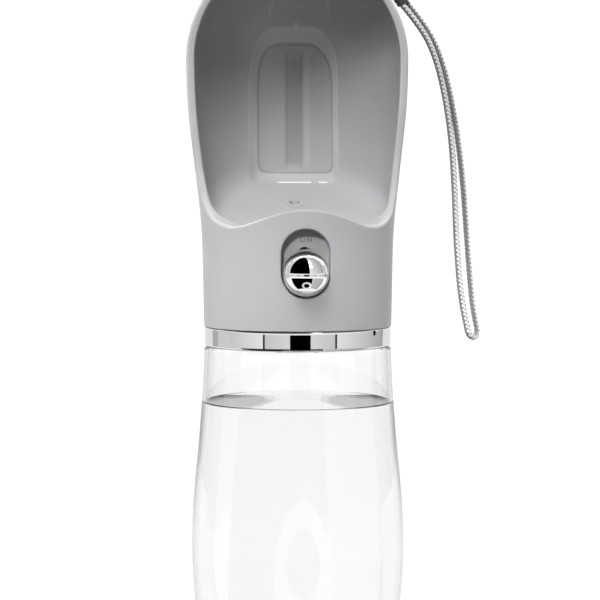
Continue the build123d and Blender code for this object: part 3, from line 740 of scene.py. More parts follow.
    def add_ear(self, x: float, y: float, z: float, radius: float, hole: float, thick: float) -> None:
        """Adds the lanyard ear: a flat ring with rounded edges, its axis along Y, partly in the skin."""
        rounding = 0.45
        corners = [
            (hole, -thick / 2, rounding), (radius, -thick / 2, rounding),
            (radius, thick / 2, rounding), (hole, thick / 2, rounding),
        ]
        ring = turned(rounded_profile(corners, 5), 64)
        placed = np.stack([ring[..., 0] + x, ring[..., 2] + y, ring[..., 1] + z], -1)
        self.sheets.add(np.concatenate([placed, placed[:1]]), closed=True)

    def word(self, x: float, z: float, height: float) -> bpy.types.Object:
        """The word ON on the recess floor: an oval ring, and an N of three bars.

        Args:
            x: Middle of the word.
            z: Its middle height.
            height: The letters' height.
        """
        front, back = self.slot.floor - 0.08, self.slot.floor + 0.1
        stroke, half = 0.3, height / 2
        turn = np.linspace(0, 2 * math.pi, 33)
        loop = []
        for size, depth in ((half, back), (half, front), (half - stroke, front), (half - stroke, back), (half, back)):
            loop.append(np.stack([x - 1.22 + size * np.cos(turn), 0 * turn + depth, z + size * np.sin(turn)], -1))
        sheets = Sheets()
        sheets.add(np.array(loop), flip=True)
        left, right = x + 0.35, x + 0.35 + height * 0.9
        wide = stroke * 1.2
        quads = np.array([[0, 1, 2, 3], [7, 6, 5, 4], [0, 4, 5, 1], [1, 5, 6, 2], [2, 6, 7, 3], [3, 7, 4, 0]])
        for start, end, lean in (
            (left, left + stroke, 0.0), (right - stroke, right, 0.0), (left, left + wide, right - left - wide),
        ):
            flat = [(start + lean, z - half), (end + lean, z - half), (end, z + half), (start, z + half)]
            corners = np.array([(u, depth, v) for depth in (front, back) for u, v in flat])
            sheets.add_mesh(corners, quads)
        return sheets.build("recess_word", weld=0.001, sharp=30)

    def build(self) -> bpy.types.Object:
        """Makes the whole shell as one mesh."""
        self.add_skin(inner=False)
        self.add_skin(inner=True)
        self.add_rim()
        self.add_under_side(bore=29.9, shelf=149.0, block_half=14.6)
        reach = self.form.arch_radius + 3.2
        angle = math.radians(52.0)
        self.add_ear(reach * math.cos(angle), 6.0, self.form.arch_centre + reach * math.sin(angle), 4.2, 1.9, 2.4)
        return self.sheets.build("housing_shell")


# ---------------------------------------------------------------- wrist loop
@dataclass(frozen=True)
class WristLoop:
    """Braided cord folded once, its clasp, and the thin cord that ties it to the ear.

    The route's points are the middle line (X, Z, spread) of the two runs. The loop's plane is turned
    from the front view, so that one run hangs in front of the other.
    """

    radius: float = 1.1
    side: float = 6.0
    turn: float = math.radians(42)
    run: tuple[tuple[float, float, float], ...] = (
        (37.6, 250.5, 2.6), (44.0, 243.1, 2.6), (49.1, 233.5, 2.9), (52.6, 221.0, 3.0), (55.4, 205.0, 3.6),
        (57.1, 187.0, 4.9), (58.0, 170.0, 5.8), (59.1, 155.6, 6.0), (60.1, 146.6, 5.6), (61.1, 141.2, 5.4),
        (61.8, 138.1, 5.3),
    )
    fold_run: float = 2.2
    fold_end: tuple[float, float] = (62.2, 135.8)
    fold_lean: float = 0.15
    length: float = 240.7
    bead_length: float = 8.5
    bead_radius: float = 2.5
    bead_top_radius: float = 2.0
    leader_radius: float = 0.6
    leader_spread: float = 2.8
    leader_rest: float = 0.8

    def way(self) -> np.ndarray:
        """Direction up the clasp's axis, away from the loop."""
        first, second = self.run[:2]
        return unit(np.array([first[0] - second[0], 0.0, first[1] - second[1]]))

    def beside(self, x: float, z: float, distance: float, side: int, square: bool = False) -> np.ndarray:
        """The place half the distance to one side of the middle line."""
        way = self.way()
        across = np.array([way[2], 0.0, -way[0]]) if square else np.array([1.0, 0.0, 0.0])
        spread = across * math.cos(self.turn) + (0, math.sin(self.turn), 0)
        return np.array([x, self.side, z]) + spread * side * distance / 2

    def route(self) -> np.ndarray:
        """The cord's control points: down one run, round the fold and up the other."""
        slant = self.fold_run * math.cos(math.radians(45))
        x, z = self.fold_end
        low = x + self.fold_lean * slant
        down = [self.beside(*spot, -1, square=index < 2) for index, spot in enumerate(self.run)]
        back = [self.beside(*spot, 1, square=index < 2) for index, spot in enumerate(self.run)]
        fold = [
            self.beside(x, z, self.fold_run + 2 * slant, -1), self.beside(low, z - slant, self.fold_run, -1),
            self.beside(low, z - slant, self.fold_run, 1), self.beside(x, z, self.fold_run + 2 * slant, 1),
        ]
        return np.array(down + fold + back[::-1])

    def bead_foot(self) -> np.ndarray:
        """Middle of the clasp's lower face."""
        return np.array([self.run[0][0], self.side, self.run[0][1]])

    def leader_route(self, ear: np.ndarray) -> np.ndarray:
        """Control points of the thin loop from the clasp's top through the ear and back."""
        way = self.way()
        start = self.bead_foot() + way * self.bead_length
        end = ear - way * self.leader_rest
        reach = np.linalg.norm(end - start)
        narrow = np.array([0, self.leader_radius + 0.3, 0])
        wide = np.array([0, self.leader_spread, 0])
        near = start + way * 0.22 * reach
        far = start + way * 0.55 * reach
        return np.array([
            start - narrow, near - narrow, far - wide, end - wide,
            end + wide, far + wide, near + narrow, start + narrow,
        ])

    @staticmethod
    def follow(route: np.ndarray, steps: int) -> np.ndarray:
        """Points read from the smooth NURBS spline that has the route as its control points."""
        curve = bpy.data.curves.new("route", "CURVE")
        curve.dimensions = "3D"
        curve.resolution_u = steps
        spline = curve.splines.new("NURBS")
        spline.points.add(len(route) - 1)
        weighted = np.column_stack([route * MM, np.ones(len(route))])
        spline.points.foreach_set("co", weighted.astype(np.float32).ravel())
        spline.order_u = 3
        spline.use_endpoint_u = True
        holder = bpy.data.objects.new("route", curve)
        mesh = bpy.data.meshes.new_from_object(holder)
        points = np.zeros(len(mesh.vertices) * 3, np.float32)
        mesh.vertices.foreach_get("co", points)
        bpy.data.objects.remove(holder)
        bpy.data.meshes.remove(mesh)
        bpy.data.curves.remove(curve)
        return points.reshape(-1, 3).astype(float) / MM

    @staticmethod
    def evenly(points: np.ndarray, step: float) -> np.ndarray:
        """The same line with points a step apart."""
        along = np.concatenate([[0], np.cumsum(np.linalg.norm(np.diff(points, axis=0), axis=1))])
        marks = np.linspace(0, along[-1], max(int(along[-1] / step), 8) + 1)
        return np.stack([np.interp(marks, along, points[:, axis]) for axis in range(3)], 1)

    @staticmethod
    def frames(points: np.ndarray) -> tuple[np.ndarray, np.ndarray]:
        """Two directions square to the line at each point, carried along it with no twist.

        At each step the last direction loses its part along the line and is made unit length again.
        """
        ahead = unit(np.gradient(points, axis=0))
        first = np.empty_like(points)
        hold = unit(np.cross(ahead[0], (0.0, 1.0, 0.0)))
        for index, way in enumerate(ahead):
            hold = hold - way * (hold @ way)
            hold /= np.linalg.norm(hold)
            first[index] = hold
        return first, np.cross(ahead, first)

    def braided(
        self, name: str, line: np.ndarray, radius: float, carriers: int, lay: float, around: int, depth: float
    ) -> bpy.types.Object:
        """A braided tube.

        Strands run both ways round the tube: the place on one way's strands is turn * carriers / 2 +
        length / lay, on the other's turn * carriers / 2 - length / lay. A strand's crown is the cosine
        of its own place, and it lies on top where the cosine of half the two places' sum and
        difference says so, two over and two under, as in a herringbone.

        Args:
            name: The object's name.
            line: Points that the tube follows, evenly apart.
            radius: The tube's greatest radius.
            carriers: How many strands, both ways together.
            lay: Millimetres along the tube from one strand to the next.
            around: Points round the tube.
            depth: How deep the grooves between the strands are.

        Returns:
            The tube, its UV map the share of a turn and the length in millimetres.
        """
        first, second = self.frames(line)
        length = np.concatenate([[0], np.cumsum(np.linalg.norm(np.diff(line, axis=0), axis=1))])[:, None]
        share = np.arange(around)[None] / around
        left = share * carriers / 2 + length / lay
        right = share * carriers / 2 - length / lay
        over = np.sin(math.pi / 2 * (np.floor(left) + np.floor(right)) + math.pi / 4) > 0
        crown = np.where(over, np.abs(np.sin(math.pi * left)), np.abs(np.sin(math.pi * right)))
        reach = radius - depth * (1 - crown ** 0.7)
        turn = 2 * math.pi * share
        offset = (
            first[:, None] * (reach * np.cos(turn))[..., None] + second[:, None] * (reach * np.sin(turn))[..., None]
        )
        grid = line[:, None] + offset
        whole = np.concatenate([grid, grid[:, :1]], 1)
        uv = np.stack(np.broadcast_arrays(np.arange(around + 1)[None] / around, length), -1)
        sheets = Sheets()
        sheets.add(whole, uv=uv)
        for end, row in ((line[0], whole[0]), (line[-1], whole[-1][::-1])):
            cap = np.stack([row + (end - row) * t for t in (0, 0.5, 1)])
            sheets.add(cap, flip=True)
        return sheets.build(name, weld=0.0005)

    def bead(self) -> bpy.types.Object:
        """The clasp: a tapered barrel with rounded ends and two shallow grooves round it."""
        foot, way = self.bead_foot(), self.way()
        side = np.array([0.0, 1.0, 0.0])
        across = np.cross(side, way)
        height = np.linspace(0, self.bead_length, 120)
        share = height / self.bead_length
        radius = self.bead_radius + (self.bead_top_radius - self.bead_radius) * share
        groove = np.exp(-((height - 1.7) / 0.22) ** 2) + np.exp(-((height - 2.9) / 0.22) ** 2)
        radius = radius - 0.22 * groove
        rounding = 0.7
        edge = np.minimum(height, self.bead_length - height)
        radius = radius - rounding * (1 - np.sqrt(np.clip(1 - (1 - np.minimum(edge / rounding, 1)) ** 2, 0, 1)))
        turn = np.linspace(0, 2 * math.pi, 73)
        ring = across * np.cos(turn)[:, None] + side * np.sin(turn)[:, None]
        grid = foot + way * height[:, None, None] + ring * radius[:, None, None]
        ends = [foot + 0 * grid[:1], foot + way * self.bead_length + 0 * grid[:1]]
        sheets = Sheets()
        sheets.add(np.concatenate([ends[0], grid, ends[1]]), flip=True)
        return sheets.build("lanyard_clasp", weld=0.001)

    def build(self, ear: np.ndarray, finishes: dict[str, bpy.types.Material]) -> None:
        """Args:
            ear: The ear's middle.
            finishes: Materials by name.
        """
        line = self.evenly(self.follow(self.route(), 24), 0.17)
        loop = self.braided("wrist_loop", line, self.radius, 8, 1.5, 48, 0.2)
        thin = self.evenly(self.follow(self.leader_route(ear), 24), 0.12)
        leader = self.braided("leader_cord", thin, self.leader_radius, 8, 0.7, 24, 0.08)
        clasp = self.bead()
        dress(loop, finishes["braid"], "head")
        dress(leader, finishes["thin braid"], "head")
        dress(clasp, finishes["clasp"], "head")
        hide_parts("lanyard_loop")
        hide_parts("lanyard_leader")
        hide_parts("lanyard_bead")
        log.info("wrist loop: %d points along, clasp and leader", len(line))


# ---------------------------------------------------------------- bottle and water
@dataclass(frozen=True)
class Bottle:
    """Blow-moulded clear bottle with a threaded neck, and the water that stands in it."""

    belly: tuple[tuple[float, float], ...] = ((31.4, 8.0), (35.4, 40.0), (36.8, 62.5), (34.3, 100.0), (32.2, 132.5))
    foot_slope: float = 0.12
    top_slope: float = -0.02
    base_corner: float = 8.0
    wall: float = 1.2
    floor: float = 2.6
    shoulder_wall: float = 0.6
    shoulder_corner: float = 1.2
    neck_radius: float = 26.0
    neck_bore: float = 23.6
    neck_top: float = 144.8
    thread_start: float = 135.9
    thread_pitch: float = 4.5
    thread_turns: float = 1.25
    thread_radius: float = 1.2
    water_height: float = 112.3
    columns: int = 192

    def side(self, z: np.ndarray) -> np.ndarray:
        """Outer radius of the body at a height."""
        radii = [spot[0] for spot in self.belly]
        heights = [spot[1] for spot in self.belly]
        return smooth_curve(z, heights, radii, self.foot_slope, self.top_slope)

    def corner(self, radius: float, height: float, inset: float, steps: int) -> np.ndarray:
        """The base's rounded corner: a quarter of an ellipse from the flat to the side."""
        angle = np.linspace(0, math.pi / 2, steps)
        size = self.base_corner - inset * 0.6
        flat = radius - size
        return np.column_stack([flat + size * np.sin(angle), height + (self.base_corner - height) * (1 - np.cos(angle))])

    def thread(self, grid: np.ndarray) -> np.ndarray:
        """Raises the screw thread on the neck.

        At each place the ridge stands sqrt(r^2 - d^2) out, where d is the height over the nearest
        turn's middle, and fades to nothing over the first and last twelfth of a turn.
        """
        turn = np.arctan2(grid[..., 1], grid[..., 0]) % (2 * math.pi) / (2 * math.pi)
        lift = np.zeros(turn.shape)
        for whole in range(int(self.thread_turns) + 1):
            place = turn + whole
            inside = (place <= self.thread_turns)
            fade = np.sqrt(np.clip(np.minimum(place, self.thread_turns - place) * 12, 0, 1))
            d = grid[..., 2] - self.thread_start - self.thread_pitch * place
            ridge = np.sqrt(np.clip(self.thread_radius ** 2 - d * d, 0, None))
            lift = np.maximum(lift, ridge * fade * inside)
        radius = np.hypot(grid[..., 0], grid[..., 1])
        raised = grid.copy()
        raised[..., :2] *= ((radius + lift) / radius)[..., None]
        return raised

    def build(self, finishes: dict[str, bpy.types.Material]) -> None:
        """Makes the bottle as one closed wall, and the water inside it."""
        top = self.belly[-1][1]
        sheets = Sheets()
        heights = np.linspace(self.base_corner, top - self.shoulder_corner, 150)
        outer = np.column_stack([self.side(heights), heights])
        middle = np.array([[0.0, 0.0], [10.0, 0.0], [18.0, 0.0]])
        corner = self.corner(self.belly[0][0], 0.0, 0.0, 24)
        edge = self.side(np.array([top]))[0]
        angle = np.linspace(0, math.pi / 2, 8)
        bend = np.column_stack([
            edge - self.shoulder_corner * (1 - np.cos(angle)), top - self.shoulder_corner * (1 - np.sin(angle))])
        ledge = np.array([[28.5, top], [self.neck_radius, top]])
        body = np.concatenate([middle, corner[:-1], outer, bend[1:], ledge])
        sheets.add(turned(body, self.columns), closed=True)
        neck_heights = np.linspace(top, self.neck_top - 0.5, 90)
        neck = np.column_stack([np.full(90, self.neck_radius), neck_heights])
        sheets.add(self.thread(turned(neck, self.columns)), closed=True)
        lip = np.array([
            [self.neck_radius, self.neck_top - 0.5], [self.neck_radius - 0.15, self.neck_top - 0.15],
            [self.neck_radius - 0.5, self.neck_top], [self.neck_bore + 0.5, self.neck_top],
            [self.neck_bore + 0.15, self.neck_top - 0.15], [self.neck_bore, self.neck_top - 0.5],
        ])
        inner_top = top - self.shoulder_wall
        roof = np.column_stack([
            edge - self.wall - 0.6 * (1 - np.cos(angle)), inner_top - 0.6 * (1 - np.sin(angle))])[::-1]
        inside_heights = np.linspace(inner_top - 0.6, self.base_corner, 150)
        inside = np.column_stack([self.side(inside_heights) - self.wall, inside_heights])
        foot = self.corner(self.belly[0][0] - self.wall, self.floor, self.wall, 24)[::-1]
        hollow = np.concatenate([
            lip, [[self.neck_bore, inner_top + 0.6], [self.neck_bore + 0.6, inner_top]], roof, inside[1:], foot[1:],
            [[15.0, self.floor], [0.0, self.floor]],
        ])
        sheets.add(turned(hollow, self.columns), closed=True)
        shell = sheets.build("bottle_shell", weld=0.002, sharp=50)
        dress(shell, finishes["clear"], "bottle")
        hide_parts("bottle")
        log.info("bottle: %d faces", len(shell.data.polygons))
        self.build_water(finishes)

    def build_water(self, finishes: dict[str, bpy.types.Material]) -> None:
        """Makes the water: it wets the wall, and its surface climbs the last 2 mm as a meniscus.

        The surface stands rise * exp(-distance to the wall / 1.4) above its level middle.
        """
        bite = self.wall * 0.2
        heights = np.linspace(self.base_corner, self.water_height + 1.1, 110)
        side = np.column_stack([self.side(heights) - self.wall + bite, heights])
        corner = self.corner(self.belly[0][0] - self.wall + bite, self.floor - bite, self.wall, 24)
        reach = side[-1, 0]
        gap = np.concatenate([np.geomspace(0.12, 9.0, 26), [16.0, 24.0, reach]])
        surface = np.column_stack([reach - gap, self.water_height + 1.1 * np.exp(-gap / 1.4)])
        surface[-1, 0] = 0.0
        profile = np.concatenate([[[0.0, self.floor - bite], [15.0, self.floor - bite]], corner[:-1], side, surface])
        sheets = Sheets()
        sheets.add(turned(profile, self.columns), closed=True)
        water = sheets.build("water", weld=0.002, sharp=60)
        dress(water, finishes["water"], "bottle")
        log.info("water: level %.1f mm", self.water_height)


# ---------------------------------------------------------------- plated parts
@dataclass(frozen=True)
class PlatedRing:
    """Bright ring between the bottle and the head, with eased edges."""

    bore: float = 29.9
    radius: float = 32.1
    low: float = 132.72
    high: float = 138.9
    columns: int = 256

    def build(self, finishes: dict[str, bpy.types.Material]) -> None:
        """Carries the ring's rounded section round the axis; its face swells by a few hundredths."""
        corners = [
            (self.bore, self.low, 0.2), (self.radius - 0.12, self.low, 0.08), (self.radius, self.low + 0.2, 0.15),
            (self.radius + 0.02, (self.low + self.high) / 2, 1.5), (self.radius, self.high, 0.32),
            (self.bore, self.high, 0.2),
        ]
        section = rounded_profile(corners, 7)
        ring = turned(section, self.columns)
        sheets = Sheets()
        sheets.add(np.concatenate([ring, ring[:1]]), closed=True)
        band = sheets.build("plated_ring", weld=0.002, sharp=40)
        dress(band, finishes["chrome"], "head")
        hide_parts("chrome_ring")
        log.info("plated ring: %d faces", len(band.data.polygons))


@dataclass(frozen=True)
class BallButton:
    """Bright ball on the sliding lock: the front half of a ball on a short straight skirt."""

    radius: float = 7.7
    skirt: float = 1.7
    bore: float = 6.2
    bore_depth: float = 4.7
    socket_radius: float = 1.5
    socket_depth: float = 1.2
    columns: int = 160

    def build(self, finishes: dict[str, bpy.types.Material]) -> None:
        """Turns the ball's section round the button's axis, which runs along Y."""
        low, high = low_corner("button_cap"), high_corner("button_cap")
        middle = (low + high) / 2
        back = high[1]
        angle = np.linspace(math.pi / 2, 0, 64)
        front = np.column_stack([self.radius * np.cos(angle), -self.skirt - self.radius * np.sin(angle)])
        ceiling = -self.bore_depth
        corners = np.array([
            [self.radius, -0.25], [self.radius - 0.25, 0.0], [self.bore + 0.2, 0.0], [self.bore, -0.2],
            [self.bore, ceiling + 0.6], [self.bore - 0.6, ceiling], [self.socket_radius, ceiling],
            [self.socket_radius, ceiling - self.socket_depth], [0.0, ceiling - self.socket_depth],
        ])
        profile = np.concatenate([front, corners])
        grid = turned(profile, self.columns)
        placed = np.stack([grid[..., 0], grid[..., 2] + back, grid[..., 1] + middle[2]], -1)
        sheets = Sheets()
        sheets.add(placed, closed=True, flip=True)
        ball = sheets.build("ball_button", weld=0.002, sharp=40)
        dress(ball, finishes["chrome"], "button")
        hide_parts("button_cap")
        log.info("ball button: front at %.1f mm", low[1])


# ---------------------------------------------------------------- materials
def colour(code: str) -> tuple[float, float, float, float]:
    """A colour of the screen (#RRGGBB) as linear light.

    Below 0.04045 a value is divided by 12.92, and above it is ((value + 0.055) / 1.055) ^ 2.4.
    """
    shares = [int(code[place:place + 2], 16) / 255 for place in (1, 3, 5)]
    return (*(v / 12.92 if v <= 0.04045 else ((v + 0.055) / 1.055) ** 2.4 for v in shares), 1.0)


def add_node(tree: bpy.types.NodeTree, kind: str, settings: dict | None = None, **sockets) -> bpy.types.Node:
    """Adds a node, with its settings and its inputs.

    Args:
        tree: The material's nodes.
        kind: The node's type.
        settings: Its properties; "ramp" lists the (place, colour) stops of a colour ramp.
        sockets: Values of its inputs, or (node, output) to link. An input's name has _ for a space, or is
            in and its number.

    Returns:
        The node.
    """
    made = tree.nodes.new(kind)
    for name, value in (settings or {}).items():
        if name == "ramp":
            stops = made.color_ramp.elements
            while len(stops) < len(value):
                stops.new(1.0)
            for stop, (place, tint) in zip(stops, value):
                stop.position = place
                stop.color = tint
        else:
            setattr(made, name, value)
    for name, value in sockets.items():
        socket = made.inputs[int(name[2:]) if name[:2] == "in" and name[2:].isdigit() else name.replace("_", " ")]
        if isinstance(value, tuple) and isinstance(value[0], bpy.types.Node):
            tree.links.new(value[0].outputs[value[1]], socket)
        else:
            socket.default_value = value
    return made


@dataclass(frozen=True)
class Finish:
    """A surface's make: its colour, gloss and what it is moulded, plated or woven from."""

    name: str
    tint: str
    roughness: float
    ior: float = 1.5
    metallic: float = 0.0

    def material(self) -> bpy.types.Material:
        """The material, its pattern nodes put in by paint()."""
        made = bpy.data.materials.new(self.name)
        made.use_nodes = True
        tree = made.node_tree
        shader = tree.nodes["Principled BSDF"]
        shader.inputs["Base Color"].default_value = colour(self.tint)
        shader.inputs["Roughness"].default_value = self.roughness
        shader.inputs["IOR"].default_value = self.ior
        shader.inputs["Metallic"].default_value = self.metallic
        self.paint(tree, shader)
        return made

    def paint(self, tree: bpy.types.NodeTree, shader: bpy.types.Node) -> None:
        """Puts in what the plain shader lacks."""


@dataclass(frozen=True)
class SatinMoulding(Finish):
    """Moulded ABS from a finely spark-eroded tool.

    The eye gets a soft, even sheen, a grain that only shows against the light, and a faint cloudiness
    where the melt flowed.
    """

    grain: float = 0.28
    depth: float = 0.012
    cloud: float = 22.0
    shade: str = "#A6A6A8"

    def paint(self, tree: bpy.types.NodeTree, shader: bpy.types.Node) -> None:
        """Grain of a real size in millimetres as bump and roughness, and a slow change of tone."""
        place = add_node(tree, "ShaderNodeTexCoord")
        grain = add_node(
            tree, "ShaderNodeTexNoise", Vector=(place, "Object"), Scale=1 / (self.grain * MM), Detail=3.0,
            Roughness=0.6)
        cloud = add_node(
            tree, "ShaderNodeTexNoise", Vector=(place, "Object"), Scale=1 / (self.cloud * MM), Detail=2.0)
        tone = add_node(
            tree, "ShaderNodeMix", {"data_type": "RGBA"}, in0=(cloud, "Fac"), in6=colour(self.shade),
            in7=colour(self.tint))
        tone = self.paint_light_and_shade(tree, place, tone)
        gloss = add_node(
            tree, "ShaderNodeMapRange", Value=(grain, "Fac"), From_Min=0.3, From_Max=0.7,
            To_Min=self.roughness - 0.05, To_Max=self.roughness + 0.06)
        bump = add_node(tree, "ShaderNodeBump", Strength=0.35, Distance=self.depth * MM, Height=(grain, "Fac"))
        tree.links.new(tone.outputs[2], shader.inputs["Base Color"])
        tree.links.new(gloss.outputs["Result"], shader.inputs["Roughness"])
        tree.links.new(bump.outputs["Normal"], shader.inputs["Normal"])

    def paint_light_and_shade(self, tree: bpy.types.NodeTree, place: bpy.types.Node, tone: bpy.types.Node) -> bpy.types.Node:
        """The tone with painted light and shade put in; this moulding has none."""
        return tone


@dataclass(frozen=True)
class ScoopMoulding(SatinMoulding):
    """The shell's ABS, with light and shade painted on its panel and its rim.

    Painted highlights give a paler frame round the panel, a paler crest beside its flute, a faint arc and a nub above
    it, and a glint along its foot. Painted shade gives a thin dark line inside the frame and a darker flute. Painted
    light makes the rim paler upwards.
    """

    panel: Panel = Panel()
    # pale is the colour of the painted highlights, deep that of the painted shade
    pale: str = "#CDCDCF"
    deep: str = "#88888A"
    # the faint arc and the nub below get painted highlights
    ridge_middle: tuple[float, float] = (2.8, 248.0)
    ridge_radius: float = 10.4
    nub: tuple[float, float] = (2.0, 244.2)
    # painted light: the rim's front faces are mixed towards this colour upwards
    rim_painted_light: str = "#E2E2E4"

    def paint_light_and_shade(self, tree: bpy.types.NodeTree, place: bpy.types.Node, tone: bpy.types.Node) -> bpy.types.Node:
        """Paints highlights, shade and rim light into the tone, by how far a place is inside the panel, the least
        distance to its straight sides.
        """
        panel = self.panel
        spot = add_node(tree, "ShaderNodeSeparateXYZ", Vector=(place, "Object"))
        normal = add_node(tree, "ShaderNodeSeparateXYZ", Vector=(place, "Normal"))

        def maths(operation: str, first, second=0.0, third=0.0) -> tuple[bpy.types.Node, str]:
            """A sum, product or other sum of numbers or outputs."""
            return (add_node(
                tree, "ShaderNodeMath", {"operation": operation}, in0=first, in1=second, in2=third), "Value")

        def rise(value, low: float, high: float) -> tuple[bpy.types.Node, str]:
            """A step from 0 to 1 between two values."""
            return (add_node(
                tree, "ShaderNodeMapRange", {"interpolation_type": "SMOOTHSTEP"}, Value=value, From_Min=low,
                From_Max=high), "Result")

        def between(value, low: float, high: float, soft: float) -> tuple[bpy.types.Node, str]:
            """1 between two values and 0 outside them."""
            return maths("SUBTRACT", rise(value, low, low + soft), rise(value, high, high + soft))

        def mix(base: bpy.types.Node, share, amount: float, tint: str) -> bpy.types.Node:
            """Mixes a colour in by a share."""
            return add_node(
                tree, "ShaderNodeMix", {"data_type": "RGBA"}, in0=maths("MULTIPLY", share, amount), in6=(base, 2),
                in7=colour(tint))

        x, y, z = (maths("DIVIDE", (spot, name), MM) for name in "XYZ")
        slope = unit(np.array([panel.top - panel.shoulder, panel.half - panel.neck_half]))
        beside = maths("SUBTRACT", x, panel.middle)
        side = maths("MINIMUM", maths("ADD", panel.half, beside), maths(
            "MULTIPLY", maths("SUBTRACT", panel.half, beside), panel.steep))
        cut = maths("ADD", maths("MULTIPLY", maths("SUBTRACT", panel.half, maths("ABSOLUTE", beside)), float(slope[0])),
                    maths("MULTIPLY", maths("SUBTRACT", panel.shoulder, z), float(slope[1])))
        ends = maths("SMOOTH_MIN", maths("MULTIPLY", maths("SUBTRACT", panel.top, z), panel.gentle), maths(
            "SUBTRACT", z, panel.foot), 6.0)
        near = maths("SMOOTH_MIN", maths("SMOOTH_MIN", side, cut, 6.0), ends, 6.0)
        inner = maths("MULTIPLY", maths("LESS_THAN", (normal, "Y"), 0.0), maths("GREATER_THAN", y, 5.0))
        edge = panel.border - 1.3
        # painted highlight: a paler frame along the panel's border
        frame_share = maths("MULTIPLY", inner, between(near, -1.4, edge - 0.3, 0.3))
        # painted shade: a thin dark line just inside the frame
        line = maths("MULTIPLY", inner, between(near, edge - 0.2, edge + 0.5, 0.35))
        off = maths("SUBTRACT", x, panel.groove_middle)
        # painted shade: a darker flute down the panel's middle
        flute = maths("MULTIPLY", inner, maths("MULTIPLY", between(off, -panel.groove_half, panel.groove_half, 0.3),
                                               between(z, panel.groove_foot - 1, panel.groove_top, 3.0)))
        # painted highlight: a paler crest beside the flute
        crest = maths("MULTIPLY", inner, maths("MULTIPLY", between(off, panel.groove_half + 0.6, 5.6, 0.4),
                                               between(z, panel.groove_foot - 1, panel.groove_top, 3.0)))
        # painted highlight: a white glint along the panel's foot
        foot = maths("ADD", between(x, -5.0, 6.9, 0.8), between(x, 9.6, 12.6, 0.7))
        glint = maths("MULTIPLY", maths("MULTIPLY", inner, foot), between(z, panel.foot - 1.2, panel.foot - 0.75, 0.2))

        def away(middle: tuple[float, float]) -> tuple[bpy.types.Node, str]:
            """The distance from a place on the wall."""
            wide, high = maths("SUBTRACT", x, middle[0]), maths("SUBTRACT", z, middle[1])
            return maths("SQRT", maths("ADD", maths("MULTIPLY", wide, wide), maths("MULTIPLY", high, high)))

        # painted highlight: a faint pale arc above the panel
        arc = between(away(self.ridge_middle), self.ridge_radius - 0.35, self.ridge_radius + 0.15, 0.2)
        ridge = maths("MULTIPLY", maths("MULTIPLY", inner, arc), rise(z, 245.8, 247.6))
        # painted highlight: a pale nub
        nub = maths("MULTIPLY", inner, maths("SUBTRACT", 1.0, rise(away(self.nub), 0.5, 1.6)))
        # painted light: the rim's front faces get paler from 186 mm up to 222 mm
        front = maths("MULTIPLY", maths("LESS_THAN", (normal, "Y"), -0.45), maths("LESS_THAN", y, 1.5))
        rim = maths("MULTIPLY", front, rise(z, 186.0, 222.0))
        # the mixes below paint light and shade into the tone
        tone = mix(tone, rim, 0.62, self.rim_painted_light)
        tone = mix(tone, maths("MULTIPLY", frame_share, rise(z, 178.0, 206.0)), 0.78, self.pale)
        tone = mix(tone, line, 0.55, self.deep)
        tone = mix(tone, flute, 0.42, self.deep)
        tone = mix(tone, crest, 0.25, self.pale)
        tone = mix(tone, ridge, 0.5, self.pale)
        tone = mix(tone, nub, 0.8, self.pale)
        return mix(tone, glint, 1.0, "#FFFFFF")


@dataclass(frozen=True)
class ClearMoulding(Finish):
    """Clear copolyester, blow moulded: bright and colourless, with slow waves in its wall.

    Where the eye looks along the wall, its colour is mixed towards grey: a thin line of painted shade along the
    outline.
    """

    wave: float = 14.0
    depth: float = 0.02
    # grey of the painted shade along the outline
    edge: str = "#7C7C7E"

    def paint(self, tree: bpy.types.NodeTree, shader: bpy.types.Node) -> None:
        """Lets the light through and bends the surface a little, as blown walls do."""
        shader.inputs["Transmission Weight"].default_value = 1.0
        # painted shade: the colour turns grey where the surface is seen edge-on
        facing = add_node(tree, "ShaderNodeLayerWeight", Blend=0.5)
        along = add_node(tree, "ShaderNodeMapRange", Value=(facing, "Facing"), From_Min=0.6, From_Max=1.0)
        tone = add_node(
            tree, "ShaderNodeMix", {"data_type": "RGBA"}, in0=(along, "Result"), in6=colour(self.tint),
            in7=colour(self.edge))
        tree.links.new(tone.outputs[2], shader.inputs["Base Color"])
        place = add_node(tree, "ShaderNodeTexCoord")
        wave = add_node(tree, "ShaderNodeTexNoise", Vector=(place, "Object"), Scale=1 / (self.wave * MM), Detail=1.0)
        bump = add_node(tree, "ShaderNodeBump", Strength=0.3, Distance=self.depth * MM, Height=(wave, "Fac"))
        tree.links.new(bump.outputs["Normal"], shader.inputs["Normal"])


@dataclass(frozen=True)
class BrightPlate(Finish):
    """Chromium plate on polished ABS: a mirror, with the faintest orange peel of the moulding under it."""

    peel: float = 3.0
    depth: float = 0.0015

    def paint(self, tree: bpy.types.NodeTree, shader: bpy.types.Node) -> None:
        """Slow waves that soften straight reflections, and hairline haze in the gloss."""
        place = add_node(tree, "ShaderNodeTexCoord")
        peel = add_node(tree, "ShaderNodeTexNoise", Vector=(place, "Object"), Scale=1 / (self.peel * MM), Detail=1.0)
        haze = add_node(
            tree, "ShaderNodeMapRange", Value=(peel, "Fac"), From_Min=0.3, From_Max=0.8,
            To_Min=self.roughness, To_Max=self.roughness + 0.03)
        bump = add_node(tree, "ShaderNodeBump", Strength=0.3, Distance=self.depth * MM, Height=(peel, "Fac"))
        tree.links.new(haze.outputs["Result"], shader.inputs["Roughness"])
        tree.links.new(bump.outputs["Normal"], shader.inputs["Normal"])


